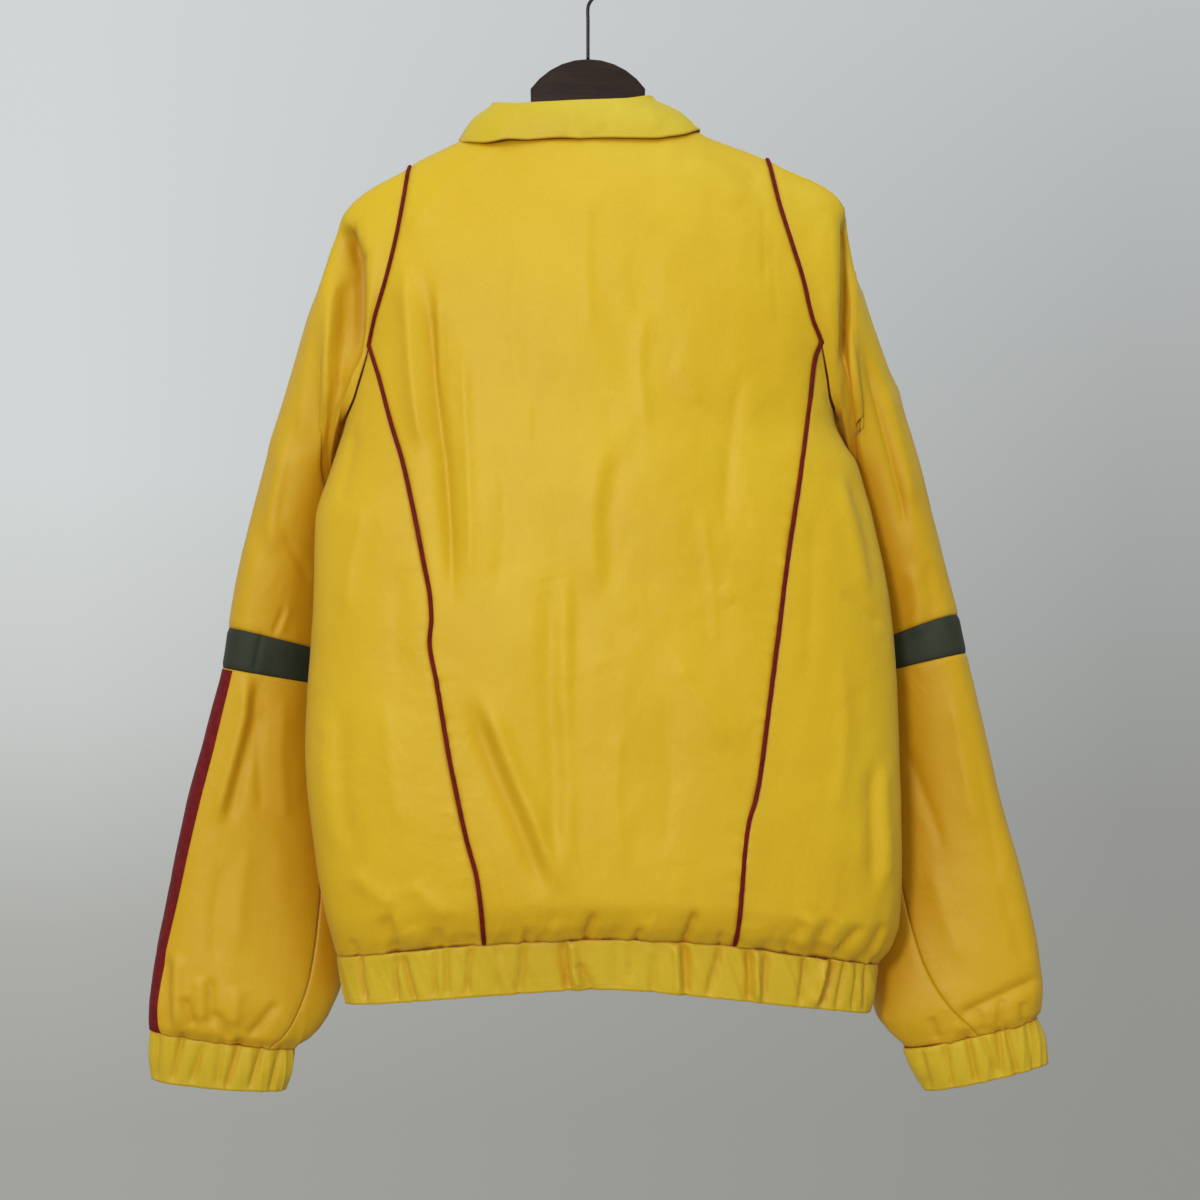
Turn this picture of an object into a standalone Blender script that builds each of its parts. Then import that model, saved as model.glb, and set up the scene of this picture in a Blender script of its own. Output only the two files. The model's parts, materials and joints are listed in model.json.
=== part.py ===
"""A windbreaker on its wooden hanger: every sewn piece is a solid of its own."""
import math

import bmesh
import bpy
import numpy as np
from mathutils import Matrix, Vector

# ---------------------------------------------------------------- sizes, mm
# The frame: +Z up, origin where the rail touches the inside top of the hook,
# +Y towards the garment's front, -Y towards its back, +X to the wearer's right.
SQUARENESS = 2.4          # how boxy the torso's level sections are
TAPER = 220.0             # drop below the shoulder ridge over which it reaches full depth
SEAM_LEVEL = -850.0       # level of the hem seam in the TORSO table
NECK_X, NECK_HALF = -13.0, 75.0
NECK_DIP_BACK, NECK_DIP_FRONT = 13.5, 76.0


def monotone(xs, ys, x):
    """Monotone cubic through the rows of a table, flat outside it."""
    xs, ys = np.asarray(xs, float), np.asarray(ys, float)
    h = np.diff(xs)
    d = np.diff(ys, axis=0) / (h if ys.ndim == 1 else h[:, None])
    m = np.zeros_like(ys)
    m[0], m[-1] = d[0], d[-1]
    a, b = d[:-1], d[1:]
    w1, w2 = 2 * h[1:] + h[:-1], h[1:] + 2 * h[:-1]
    if ys.ndim > 1:
        w1, w2 = w1[:, None], w2[:, None]
    same = a * b > 0
    m[1:-1] = np.where(
        same,
        (w1 + w2) / (w1 / np.where(same, a, 1) + w2 / np.where(same, b, 1)),
        0,
    )
    x = np.clip(np.asarray(x, float), xs[0], xs[-1])
    i = np.clip(np.searchsorted(xs, x, side="right") - 1, 0, len(h) - 1)
    t = (x - xs[i]) / h[i]
    hi = h[i]
    if ys.ndim > 1:
        t, hi = t[..., None], hi[..., None]
    return (
        (2 * t**3 - 3 * t**2 + 1) * ys[i]
        + (t**3 - 2 * t**2 + t) * hi * m[i]
        + (3 * t**2 - 2 * t**3) * ys[i + 1]
        + (t**3 - t**2) * hi * m[i + 1]
    )


class Table:
    """Rows of sizes under named columns; the first column is the one looked up."""

    def __init__(self, names, rows):
        cols = np.array(rows, float).T
        if cols[0][0] > cols[0][-1]:
            cols = cols[:, ::-1]
        self.names = names.split()
        self.col = dict(zip(self.names, cols))
        self.key = cols[0]

    def at(self, name, x):
        return monotone(self.key, self.col[name], x)

    def points(self, t):
        """Columns x, y, z at t."""
        return np.stack([self.at(n, t) for n in ("x", "y", "z")], axis=-1)


# Torso: the side lines' x, and how deep the back and the front stand off the side plane.
TORSO = Table(
    "z left right back front",
    [
        (-187, -204, 220, 60, 58),
        (-265, -199, 217, 62, 60),
        (-336, -191, 210, 64, 62),
        (-396, -201, 206, 66, 64),
        (-440, -215, 226, 69, 67),
        (-487, -228, 240, 72, 70),
        (-550, -229, 252, 75, 72),
        (-672, -236, 260, 79, 75),
        (-769, -227, 262, 81, 77),
        (-812, -220, 260, 80, 76),
        (-835, -214, 253, 73, 69),
        (-850, -210, 243, 63, 60),
        (-872, -206, 240, 60, 57),
        (-893, -203, 235, 58, 55),
    ],
)
# The shoulder ridge over the hanger, and across the neck as if it ran on.
RIDGE = Table(
    "x z",
    [
        (-206, -226),
        (-149, -187),
        (-107, -166),
        (-88, -157),
        (-13, -140),
        (62, -146),
        (92, -158),
        (150, -181),
        (180, -197),
        (214, -221),
    ],
)
# Hem seam and hem edge along the back.
HEM = Table(
    "x seam edge",
    [
        (-212, -848, -887),
        (-154, -839, -880),
        (-85, -831, -873),
        (12, -826, -867),
        (119, -832, -876),
        (166, -840, -882),
        (203, -846, -887),
        (245, -855, -895),
    ],
)
FRONT_HEM_DROP = -9.0    # the front edge curves up a little less than the back
# Armhole seams down the back, from the ridge to the underarm.
ARMHOLE = {
    -1: Table(
        "z back front",
        [
            (-187, -149, -149),
            (-218, -152.5, -156),
            (-253, -158.5, -164),
            (-286, -166.5, -172),
            (-319, -176.5, -180),
            (-339, -181, -184),
            (-368, -189, -190),
            (-385, -194.5, -194.5),
            (-396, -201, -201),
        ],
    ),
    1: Table(
        "z back front",
        [
            (-181, 150, 150),
            (-218, 157, 160),
            (-253, 167, 169),
            (-286, 177, 178),
            (-319, 185, 186),
            (-337, 192.5, 192),
            (-362, 197.5, 197.5),
            (-382, 201, 201),
            (-393, 206, 206),
        ],
    ),
}
# Side-back seams, from the armhole to the hem.
PRINCESS = {
    -1: Table(
        "z x",
        [
            (-339, -181),
            (-369, -171),
            (-403, -161.5),
            (-436, -151),
            (-469, -143),
            (-518, -133),
            (-550, -127),
            (-566, -126),
            (-583, -127.5),
            (-615, -122),
            (-679, -111),
            (-744, -97),
            (-776, -88.5),
            (-809, -85),
            (-832, -84),
        ],
    ),
    1: Table(
        "z x",
        [
            (-337, 192.5),
            (-352, 187),
            (-386, 182.5),
            (-453, 172.5),
            (-518, 162),
            (-583, 153.5),
            (-647, 145),
            (-695, 138.5),
            (-712, 135),
            (-728, 130),
            (-744, 127.5),
            (-809, 122),
            (-833, 119),
        ],
    ),
}
ZIP = Table("z x", [(-226, -13), (-400, 0), (-650, 14), (-905, 18)])
ZIP_HALF = 4.0            # half the width of the closed zip
UNDERARM_Z = {-1: -396.0, 1: -393.0}
SHOULDER_Z = {-1: -187.0, 1: -181.0}
SHOULDER_X = {-1: -149.0, 1: 150.0}
JOIN_Z = {-1: -339.0, 1: -337.0}


def hem_z(x, which, side):
    """Level of the hem's seam or edge at x, on the back (-1) or the front (+1)."""
    x = np.asarray(x, float)
    z = HEM.at(which, x)
    if side < 0:
        return z
    ends = np.interp(x, [-212, 245], [HEM.at(which, -212.0), HEM.at(which, 245.0)])
    across = np.clip(1 - ((x - 16) / 229) ** 2, 0, 1)
    return ends - FRONT_HEM_DROP * across


def torso_level(x, z, side):
    """The TORSO row to read at x, z: it follows the hem seam near the hem."""
    w = np.clip((-680 - np.asarray(z, float)) / 150, 0, 1)
    w = w * w * (3 - 2 * w)
    return z - (hem_z(x, "seam", side) - SEAM_LEVEL) * w


def torso(x, z, side):
    """Points of the torso's cloth at x, z on the back (-1) or the front (+1)."""
    x, z = np.broadcast_arrays(np.asarray(x, float), np.asarray(z, float))
    level = torso_level(x, z, side)
    left, right = TORSO.at("left", level), TORSO.at("right", level)
    mid, half = (left + right) / 2, (right - left) / 2
    off = np.clip(np.abs(x - mid) / half, 0, 1)
    full = (1 - off**SQUARENESS) ** (1 / SQUARENESS)
    t = np.clip((RIDGE.at("z", x) - z) / TAPER, 0, 1)
    rise = np.sqrt(1 - (1 - t) ** 2)
    deep = TORSO.at("back" if side < 0 else "front", level)
    return np.stack([x, side * deep * full * rise, z], axis=-1)


def neck_z(x, side):
    """Level of the neck seam at x."""
    off = np.clip(np.abs(x - NECK_X) / NECK_HALF, 0, 1)
    ends = np.interp(
        x,
        [NECK_X - NECK_HALF, NECK_X + NECK_HALF],
        [RIDGE.at("z", NECK_X - NECK_HALF), RIDGE.at("z", NECK_X + NECK_HALF)],
    )
    if side < 0:
        return ends - NECK_DIP_BACK * (1 - off**2)
    return ends - NECK_DIP_FRONT * (1 - off**2) ** 0.6


def top_z(x, side):
    """Top edge of a panel: the shoulder ridge, or the neck seam between its ends."""
    x = np.asarray(x, float)
    inside = np.abs(x - NECK_X) < NECK_HALF
    return np.where(inside, neck_z(x, side), RIDGE.at("z", x))


def extent_x(z, hand, side):
    """The torso's side line at level z."""
    z = np.asarray(z, float)
    x = np.full_like(z, hand * 225.0)
    for _ in range(6):
        x = TORSO.at("left" if hand < 0 else "right", torso_level(x, z, side))
    return x


def side_x(z, hand, side):
    """Where a panel's outer edge is at level z: the side seam, then the armhole."""
    arm = ARMHOLE[hand].at("front" if side > 0 else "back", z)
    return np.where(np.asarray(z) > UNDERARM_Z[hand], arm, extent_x(z, hand, side))


def piped_x(z, hand):
    """The centre back panel's edge at level z: the side-back seam, then the armhole."""
    arm = ARMHOLE[hand].at("back", z)
    return np.where(np.asarray(z) > JOIN_Z[hand], arm, PRINCESS[hand].at("x", z))


# Shares of an armhole's length that carry a row of points, the shoulder to the underarm;
# the piped side-back seam meets the armhole at the JOIN_AT share.
JOIN_AT = 0.75
CAP_ROWS = [0, 0.02, 0.08, 0.18, 0.32, 0.46, 0.6, 0.75]
PIT_ROWS = [0.75, 0.8, 0.85, 0.9, 0.95, 1.0]
LOW_ROWS = 9              # rows between the hem seam and the armhole


def armhole_z(hand, w):
    """Level of an armhole at the share w of its length."""
    top, low = SHOULDER_Z[hand], UNDERARM_Z[hand]
    power = math.log((top - JOIN_Z[hand]) / (top - low)) / math.log(JOIN_AT)
    return top + (low - top) * np.asarray(w, float) ** power


def armhole(hand, side, w):
    """Points of the armhole seam, from the ridge (w 0) to the underarm (w 1)."""
    z = armhole_z(hand, w)
    x = ARMHOLE[hand].at("back" if side < 0 else "front", z)
    return torso(x, z, side)


def panel(left, right, share, top, side, xl, xr):
    """A four-sided torso panel. left and right are rows of (x, z) up its two edges, which
    xl and xr give by level; share spaces its columns along the hem, top is its upper
    edge's columns of (x, z). Returns points [row, column]."""
    left, right, top = (np.asarray(q, float) for q in (left, right, top))
    share = np.asarray(share, float)
    wide = xr(top[:, 1]) - xl(top[:, 1])
    st = np.clip((top[:, 0] - xl(top[:, 1])) / wide, 0, 1)
    vl = (left[:, 1] - left[0, 1]) / (left[-1, 1] - left[0, 1])
    vr = (right[:, 1] - right[0, 1]) / (right[-1, 1] - right[0, 1])
    x0 = left[0, 0] + (right[0, 0] - left[0, 0]) * share
    z0 = hem_z(x0, "seam", side)
    z0 = z0 + (left[0, 1] - z0[0]) * (1 - share) + (right[0, 1] - z0[-1]) * share
    v = vl[:, None] * (1 - share) + vr[:, None] * share
    z = z0 + (top[:, 1] - z0) * v
    s = share + (st - share) * v
    x = xl(z) + (xr(z) - xl(z)) * s
    x[-1] = top[:, 0]
    return torso(x, z, side)


def from_side(u):
    """Spacing that is finest at the side seam, where the cloth turns most."""
    return 1 - np.cos(np.asarray(u) * math.pi / 2)


def seam_rows(hand, line, side, count):
    """(x, z) rows of the side seam ("side") or the side-back seam ("piped"), hem first."""
    if line == "side":
        x0 = float(TORSO.at("left" if hand < 0 else "right", SEAM_LEVEL))
        z = np.linspace(float(hem_z(x0, "seam", -1)), UNDERARM_Z[hand] - 1e-6, count)
        return np.stack([side_x(z, hand, side), z], axis=-1)
    z0 = float(hem_z(float(PRINCESS[hand].at("x", -832.0)), "seam", -1))
    z = np.linspace(z0, JOIN_Z[hand], count)
    return np.stack([PRINCESS[hand].at("x", z), z], axis=-1)


def armhole_rows(hand, side, shares):
    p = armhole(hand, side, np.asarray(shares, float))
    return p[:, [0, 2]]


def top_columns(x, side):
    x = np.asarray(x, float)
    return np.stack([x, top_z(x, side)], axis=-1)


def back_centre(low=LOW_ROWS, cap=None, shoulder=3, neck=7):
    cap = CAP_ROWS if cap is None else cap
    edges = [
        np.concatenate(
            [seam_rows(h, "piped", -1, low), armhole_rows(h, -1, cap[::-1])[1:]]
        )
        for h in (-1, 1)
    ]
    a, b = NECK_X - NECK_HALF, NECK_X + NECK_HALF
    x = np.concatenate(
        [
            np.linspace(SHOULDER_X[-1], a, shoulder + 1)[:-1],
            np.linspace(a, b, neck + 1)[:-1],
            np.linspace(b, SHOULDER_X[1], shoulder + 1),
        ]
    )
    share = np.linspace(0, 1, len(x))
    return panel(
        edges[0],
        edges[1],
        share,
        top_columns(x, -1),
        -1,
        lambda z: piped_x(z, -1),
        lambda z: piped_x(z, 1),
    )


def side_back(hand, low=LOW_ROWS, pit=None):
    """Columns run from the side seam to the piped seam."""
    pit = PIT_ROWS if pit is None else pit
    top = armhole_rows(hand, -1, pit[::-1])
    share = from_side(np.linspace(0, 1, len(pit)))
    return panel(
        seam_rows(hand, "side", -1, low),
        seam_rows(hand, "piped", -1, low),
        share,
        top,
        -1,
        lambda z: extent_x(z, hand, -1),
        lambda z: PRINCESS[hand].at("x", z),
    )


def front(hand, low=LOW_ROWS, rows=None, shoulder=3, neck=6):
    """Columns run from the side seam and armhole to the zip."""
    rows = CAP_ROWS + PIT_ROWS[1:] if rows is None else rows
    edge = np.concatenate(
        [seam_rows(hand, "side", 1, low), armhole_rows(hand, 1, rows[::-1])[1:]]
    )
    zip_x = lambda z: ZIP.at("x", z) + hand * (ZIP_HALF + 0.15)
    lo = float(hem_z(zip_x(-860.0), "seam", 1))
    hi = float(neck_z(zip_x(-226.0), 1))
    z = lo + (hi - lo) * (edge[:, 1] - edge[0, 1]) / (edge[-1, 1] - edge[0, 1])
    inner = np.stack([zip_x(z), z], axis=-1)
    n = NECK_X + hand * NECK_HALF
    x = np.concatenate(
        [
            np.linspace(SHOULDER_X[hand], n, shoulder + 1)[:-1],
            n + (inner[-1, 0] - n) * from_side(np.linspace(0, 1, neck + 1)),
        ]
    )
    share = from_side(np.linspace(0, 1, len(x)))
    return panel(
        edge, inner, share, top_columns(x, 1), 1, lambda z: side_x(z, hand, 1), zip_x
    )


def hem_band(turn, v):
    """The band from the zip's left side round the back (turn 0 to 1) to its right side.
    v 0 is the seam, 1 the lower edge."""
    edge_l, edge_r = -210.0, 243.0
    mid, half = (edge_l + edge_r) / 2, (edge_r - edge_l) / 2
    zx = float(ZIP.at("x", -870.0))
    a0 = math.acos(np.clip((mid - (zx - ZIP_HALF - 0.15)) / half, -1, 1))
    a1 = math.acos(np.clip((mid - (zx + ZIP_HALF + 0.15)) / half, -1, 1))
    # angle 0 at the left side; negative through the front, positive through the back
    ang = -a0 + np.asarray(turn) * (2 * math.pi - a1 + a0)
    cos = np.cos(ang)
    side = np.where((ang > 0) & (ang < math.pi), -1, 1)
    out = np.zeros((len(v), len(ang), 3))
    for k, (c, s) in enumerate(zip(cos, side)):
        spread = np.sign(c) * abs(c) ** (2 / SQUARENESS)
        x0 = mid - half * spread
        z = hem_z(x0, "seam", s) + (hem_z(x0, "edge", s) - hem_z(x0, "seam", s)) * v
        level = torso_level(np.full(len(v), x0), z, s)
        l, r = TORSO.at("left", level), TORSO.at("right", level)
        x = (l + r) / 2 - (r - l) / 2 * spread
        y = s * TORSO.at("back" if s < 0 else "front", level) * abs(np.sin(ang[k])) ** (2 / SQUARENESS)
        out[:, k] = np.stack([x, y, z], axis=-1)
    return out


# ------------------------------------------------------------------ sleeves
# Each ring runs from its outer point (ox, oy, oz) round the back to its inner point
# (ix, iy, iz) and home round the front; d is half its thickness.
RINGS = {
    -1: Table(
        "v ox oy oz ix iy iz d",
        [
            (2, -224, 5, -281, -216, 10, -422, 20),
            (3, -240, 9, -330, -220, 26, -438, 24),
            (4, -255, 12, -381, -221, 43, -457, 27),
            (5, -274, 15, -449, -219, 62, -488, 28),
            (6, -291, 17, -516, -213, 78, -540, 28),
            (7, -303, 18, -574, -212, 88, -601, 28),
            (8, -309, 18, -608, -211, 87, -628, 28),
            (9, -324, 18, -669, -209, 82, -684, 28),
            (10, -341, 18, -736, -208, 74, -752, 29),
            (11, -355, 18, -804, -207, 62, -822, 30),
            (12, -366, 18, -855, -211, 50, -872, 31),
            (13, -370, 18, -889, -224, 40, -906, 31),
            (13.6, -370.5, 18, -905, -237, 34, -923, 27),
            (14, -370, 18, -914, -250, 30, -933, 21),
            (14.5, -371.5, 19, -936, -252.5, 30, -950, 21),
            (15, -370, 20, -956, -259, 31, -968, 21),
        ],
    ),
    1: Table(
        "v ox oy oz ix iy iz d",
        [
            (2, 226, 5, -279, 221, 10, -419, 20),
            (3, 243, 9, -330, 228, 26, -436, 24),
            (4, 259, 12, -381, 231, 44, -456, 27),
            (5, 280, 15, -449, 233, 64, -488, 28),
            (6, 298, 17, -516, 234, 80, -540, 28),
            (7, 309, 18, -563, 238, 90, -598, 28),
            (8, 316.5, 18, -596, 239, 90, -620, 28),
            (9, 336, 18, -669, 241, 85, -686, 28),
            (10, 354, 18, -736, 241, 77, -753, 28),
            (11, 372, 18, -804, 242, 67, -822, 29),
            (12, 382, 18, -855, 243, 54, -870, 31),
            (13, 385, 18, -882, 248, 43, -903, 31),
            (13.6, 384, 18, -896, 258, 36, -919, 27),
            (14, 380, 18, -905, 270, 30, -932, 21),
            (14.5, 387, 19, -924, 278, 30, -950, 21),
            (15, 389, 20, -943, 289, 31, -967, 21),
        ],
    ),
}
# Ring 1: the cloth's edge where it breaks over the hanger's end and drops.
# w runs from the hanger's end (0) to the underarm (1).
BREAK_BACK = {
    -1: Table(
        "w x y z",
        [
            (0, -204, 0, -226),
            (0.02, -202.5, -6, -228),
            (0.08, -197.5, -12, -237),
            (0.18, -189, -17, -254),
            (0.32, -185, -22, -280),
            (0.52, -185, -25, -315),
            (0.72, -188, -22, -348),
            (0.8, -194.5, -21.5, -361),
            (0.85, -198.5, -20.5, -372),
            (0.9, -202.5, -17.5, -382),
            (0.95, -207, -9, -394),
            (1, -209.5, 4, -405),
        ],
    ),
    1: Table(
        "w x y z",
        [
            (0, 214, 0, -220),
            (0.02, 213.5, -6, -222),
            (0.08, 212, -11, -231),
            (0.18, 210.5, -15, -248),
            (0.32, 209.5, -20, -275),
            (0.52, 209, -24, -312),
            (0.72, 208.5, -21, -345),
            (0.8, 208, -22, -359),
            (0.85, 208.5, -21, -370),
            (0.9, 209.5, -18, -381),
            (0.95, 212, -9, -393),
            (1, 214.5, 5, -403),
        ],
    ),
}
BREAK_FRONT = {
    -1: Table(
        "w x y z",
        [
            (0, -204, 0, -226),
            (0.02, -204.5, 7, -229),
            (0.08, -206, 12, -238),
            (0.25, -208, 18, -268),
            (0.5, -208, 23, -310),
            (0.75, -208, 21, -354),
            (0.9, -208, 14, -384),
            (1, -209.5, 4, -405),
        ],
    ),
    1: Table(
        "w x y z",
        [
            (0, 214, 0, -220),
            (0.02, 214.5, 7, -223),
            (0.08, 216, 12, -232),
            (0.25, 218, 18, -262),
            (0.5, 217, 23, -306),
            (0.75, 215, 21, -350),
            (0.9, 213.5, 14, -381),
            (1, 214.5, 5, -403),
        ],
    ),
}
RETURN_V, RETURN_IN, RETURN_DEEP = 1.25, 4.0, 24.0   # the hidden return behind the break
SLEEVE_V = {"upper": (0, 7), "band": (7, 8), "lower": (8, 14), "cuff": (14, 15)}
UNDER_SEAM = {
    -1: Table("v back front", [(8, 0.345, 0.64), (11, 0.35, 0.645), (14, 0.36, 0.65)]),
    1: Table("v back front", [(8, 0.34, 0.62), (11, 0.31, 0.6), (14, 0.235, 0.55)]),
}


PIT_BULGE = {-1: 4.5, 1: 2.0}     # how far the cloth under the arm bows off the torso
PIT_ROUND = {-1: 54.0, 1: 28.0}   # and how much more towards the shoulder
PIT_STEP = 1.7            # at the underarm the sleeve starts this far outside the torso


def pit_blend(w):
    """0 down most of an armhole, rising to 1 at the underarm."""
    t = np.clip((np.asarray(w, float) - 0.68) / 0.24, 0, 1)
    return t * t * (3 - 2 * t)


def ring_points(hand, u):
    """All of a sleeve's rings at the turns u: levels v, and points [ring, u]."""
    u = np.mod(np.asarray(u, float), 1.0)
    back = u <= 0.5
    w = np.where(back, 2 * u, 2 - 2 * u)
    first = np.where(back[:, None], armhole(hand, -1, w), armhole(hand, 1, w))
    out = np.where(
        back[:, None],
        torso_normal(first[:, 0], first[:, 2], -1),
        torso_normal(first[:, 0], first[:, 2], 1),
    )
    first = first + out * PIT_STEP * pit_blend(w)[:, None]
    edge = np.where(
        back[:, None], BREAK_BACK[hand].points(w), BREAK_FRONT[hand].points(w)
    )
    rest = []
    t = RINGS[hand]
    ang = 2 * math.pi * u
    for k in range(len(t.key)):
        row = {n: t.col[n][k] for n in t.names}
        o = np.array([row["ox"], row["oy"], row["oz"]])
        i = np.array([row["ix"], row["iy"], row["iz"]])
        e1 = (o - i) / 2
        down = np.array([hand * 0.12, 0.0, -1.0])
        e2 = np.cross(down, e1)
        e2 *= row["d"] / np.linalg.norm(e2)
        if e2[1] > 0:
            e2 = -e2
        c, s = np.cos(ang), np.sin(ang)
        c, s = np.sign(c) * abs(c) ** 0.96, np.sign(s) * abs(s) ** 0.85
        rest.append((o + i) / 2 + c[:, None] * e1 + s[:, None] * e2)
    # under the arm the cloth runs nearly straight from the fold to the fifth ring
    m = np.clip((w - 0.4) / 0.35, 0, 1)
    m = (m * m * (3 - 2 * m))[:, None]
    for k, far in ((0, 0.25), (1, 0.5), (2, 0.75)):
        straight = edge + (rest[3] - edge) * far
        straight[:, 0] += hand * (PIT_BULGE[hand] + PIT_ROUND[hand] * (1 - w)) * 4 * far * (1 - far)
        rest[k] = rest[k] * (1 - m) + straight * m
    inward = np.array([-hand * RETURN_IN, RETURN_DEEP, 0.0])
    fade = np.clip((w - 0.42) / 0.36, 0, 1)
    depth = np.minimum(1, w / 0.3) ** 0.8 * (1 - fade * fade * (3 - 2 * fade))
    tucked = np.where(
        back[:, None],
        edge + inward * depth[:, None] + (rest[0] - edge) * (1 - depth)[:, None] * 0.35,
        edge + (rest[0] - edge) * 0.35,
    )
    v = np.concatenate([[0, 1, RETURN_V], t.key])
    return v, np.stack([first, edge, tucked, *rest])


def sleeve(hand, u, v):
    """Points [v, u] of a sleeve."""
    levels, rings = ring_points(hand, u)
    v = np.asarray(v, float)
    flat = rings.reshape(len(levels), -1)
    return monotone(levels, flat, v).reshape(len(v), -1, 3)


def sleeve_strip(hand, v, across):
    """Points [v, across] of a sleeve at distances in mm round the back from u 0."""
    u = np.linspace(-0.1, 0.2, 121)
    rows = sleeve(hand, u, v)
    step = np.linalg.norm(np.diff(rows, axis=1), axis=2)
    run = np.concatenate([np.zeros((len(v), 1)), np.cumsum(step, axis=1)], axis=1)
    run -= run[:, 40:41]
    out = np.zeros((len(v), len(across), 3))
    for i in range(len(v)):
        for k in range(3):
            out[i, :, k] = np.interp(across, run[i], rows[i, :, k])
    return out


# ------------------------------------------------------------------- collar
# by the angle round the neck: 0 at the middle of the back, 90 over the shoulder
COLLAR_GAP = 172.0
COLLAR = Table(
    "turn fx fy fz ex drop",
    [
        (0, 0, -27, -137, 0, 31),
        (40, 43, -21, -136, 66, 24),
        (90, 67, 2, -130, 101, 0),
        (125, 54, 30, -152, 92, 34),
        (150, 33, 46, -180, 70, 78),
        (172, 11, 53, -206, 44, 112),
    ],
)
COLLAR_MID_FOLD, COLLAR_MID_EDGE = -13.0, -7.0
COLLAR_TILT = 3.0         # the wearer's right side of the fold stands this much higher
COLLAR_CLEAR = 2.9        # between the turned-down edge and the cloth that it lies on
FOLD_HALF = 1.7           # half the gap between stand and fall at the fold


def normals_of(p, cyclic=False):
    """Unit normals of a grid of points [v, u]."""
    du = np.gradient(p, axis=1)
    if cyclic:
        du = (np.roll(p, -1, axis=1) - np.roll(p, 1, axis=1)) / 2
    dv = np.gradient(p, axis=0)
    n = np.cross(du, dv)
    return n / np.maximum(np.linalg.norm(n, axis=2, keepdims=True), 1e-9)


def torso_normal(x, z, side):
    """Outward unit normal of the torso."""
    x, z = np.broadcast_arrays(np.asarray(x, float), np.asarray(z, float))
    power = 2 / SQUARENESS

    def section(turn, rise_by):
        zz = z + rise_by
        level = torso_level(x, zz, side)
        left, right = TORSO.at("left", level), TORSO.at("right", level)
        mid, half = (left + right) / 2, (right - left) / 2
        c, s = np.cos(turn), np.sin(turn)
        xx = mid - half * np.sign(c) * np.abs(c) ** power
        t = np.clip((RIDGE.at("z", xx) - zz) / TAPER, 0, 1)
        rise = np.sqrt(1 - (1 - t) ** 2)
        deep = np.where(s > 0, -TORSO.at("back", level), TORSO.at("front", level))
        return np.stack([xx, deep * np.abs(s) ** power * rise, zz], axis=-1), mid

    level = torso_level(x, z, side)
    left, right = TORSO.at("left", level), TORSO.at("right", level)
    off = np.clip((x - (left + right) / 2) / ((right - left) / 2), -1, 1)
    turn = np.arccos(-np.sign(off) * np.abs(off) ** (SQUARENESS / 2))
    turn = turn if side < 0 else -turn
    e, h = 0.03, 0.6
    here, mid = section(turn, 0.0)
    du = section(turn + e, 0.0)[0] - section(turn - e, 0.0)[0]
    dz = section(turn, h)[0] - section(turn, -h)[0]
    n = np.cross(du, dz)
    out = here - np.stack([mid, 0 * mid, z - 20.0], axis=-1)
    n = np.where((np.sum(n * out, axis=-1) < 0)[..., None], -n, n)
    n = n / np.maximum(np.linalg.norm(n, axis=-1, keepdims=True), 1e-9)
    slope = (RIDGE.at("z", x + 1) - RIDGE.at("z", x - 1)) / 2
    top = np.stack([-slope, 0 * slope, 1 + 0 * slope], axis=-1)
    top = top / np.linalg.norm(top, axis=-1, keepdims=True)
    near = np.clip(1 - (RIDGE.at("z", x) - z) / 0.5, 0, 1)[..., None]
    n = n * (1 - near) + top * near
    return n / np.maximum(np.linalg.norm(n, axis=-1, keepdims=True), 1e-9)


def collar_sections(turn):
    """The stand's foot, the fold and the fall's edge at angles turn (degrees)."""
    turn = np.asarray(turn, float)
    hand, a = np.sign(turn), np.abs(turn)
    bx = NECK_X + NECK_HALF * np.sin(np.radians(turn))
    side = np.where(a <= 90, -1, 1)
    foot = np.zeros((len(turn), 3))
    edge = np.zeros((len(turn), 3))
    ex = COLLAR_MID_EDGE + hand * COLLAR.at("ex", a)
    drop = COLLAR.at("drop", a)
    for k in range(len(turn)):
        s = int(side[k])
        foot[k] = torso(bx[k], neck_z(bx[k], s), s)
        z = float(RIDGE.at("z", ex[k])) - drop[k]
        p = torso(ex[k], z, s)
        flat = min(drop[k] / 12, 1)
        n = torso_normal(ex[k], z - 0.5, s) if drop[k] > 2 else np.array([0, 0, 1.0])
        n = n * flat + np.array([0, 0, 1.0]) * (1 - flat)
        edge[k] = p + n / np.linalg.norm(n) * COLLAR_CLEAR
    fold = np.stack(
        [
            COLLAR_MID_FOLD + hand * COLLAR.at("fx", a),
            COLLAR.at("fy", a),
            COLLAR.at("fz", a) + hand * COLLAR_TILT * np.sin(np.radians(np.minimum(a, 90))) ,
        ],
        axis=-1,
    )
    return foot, fold, edge


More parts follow.
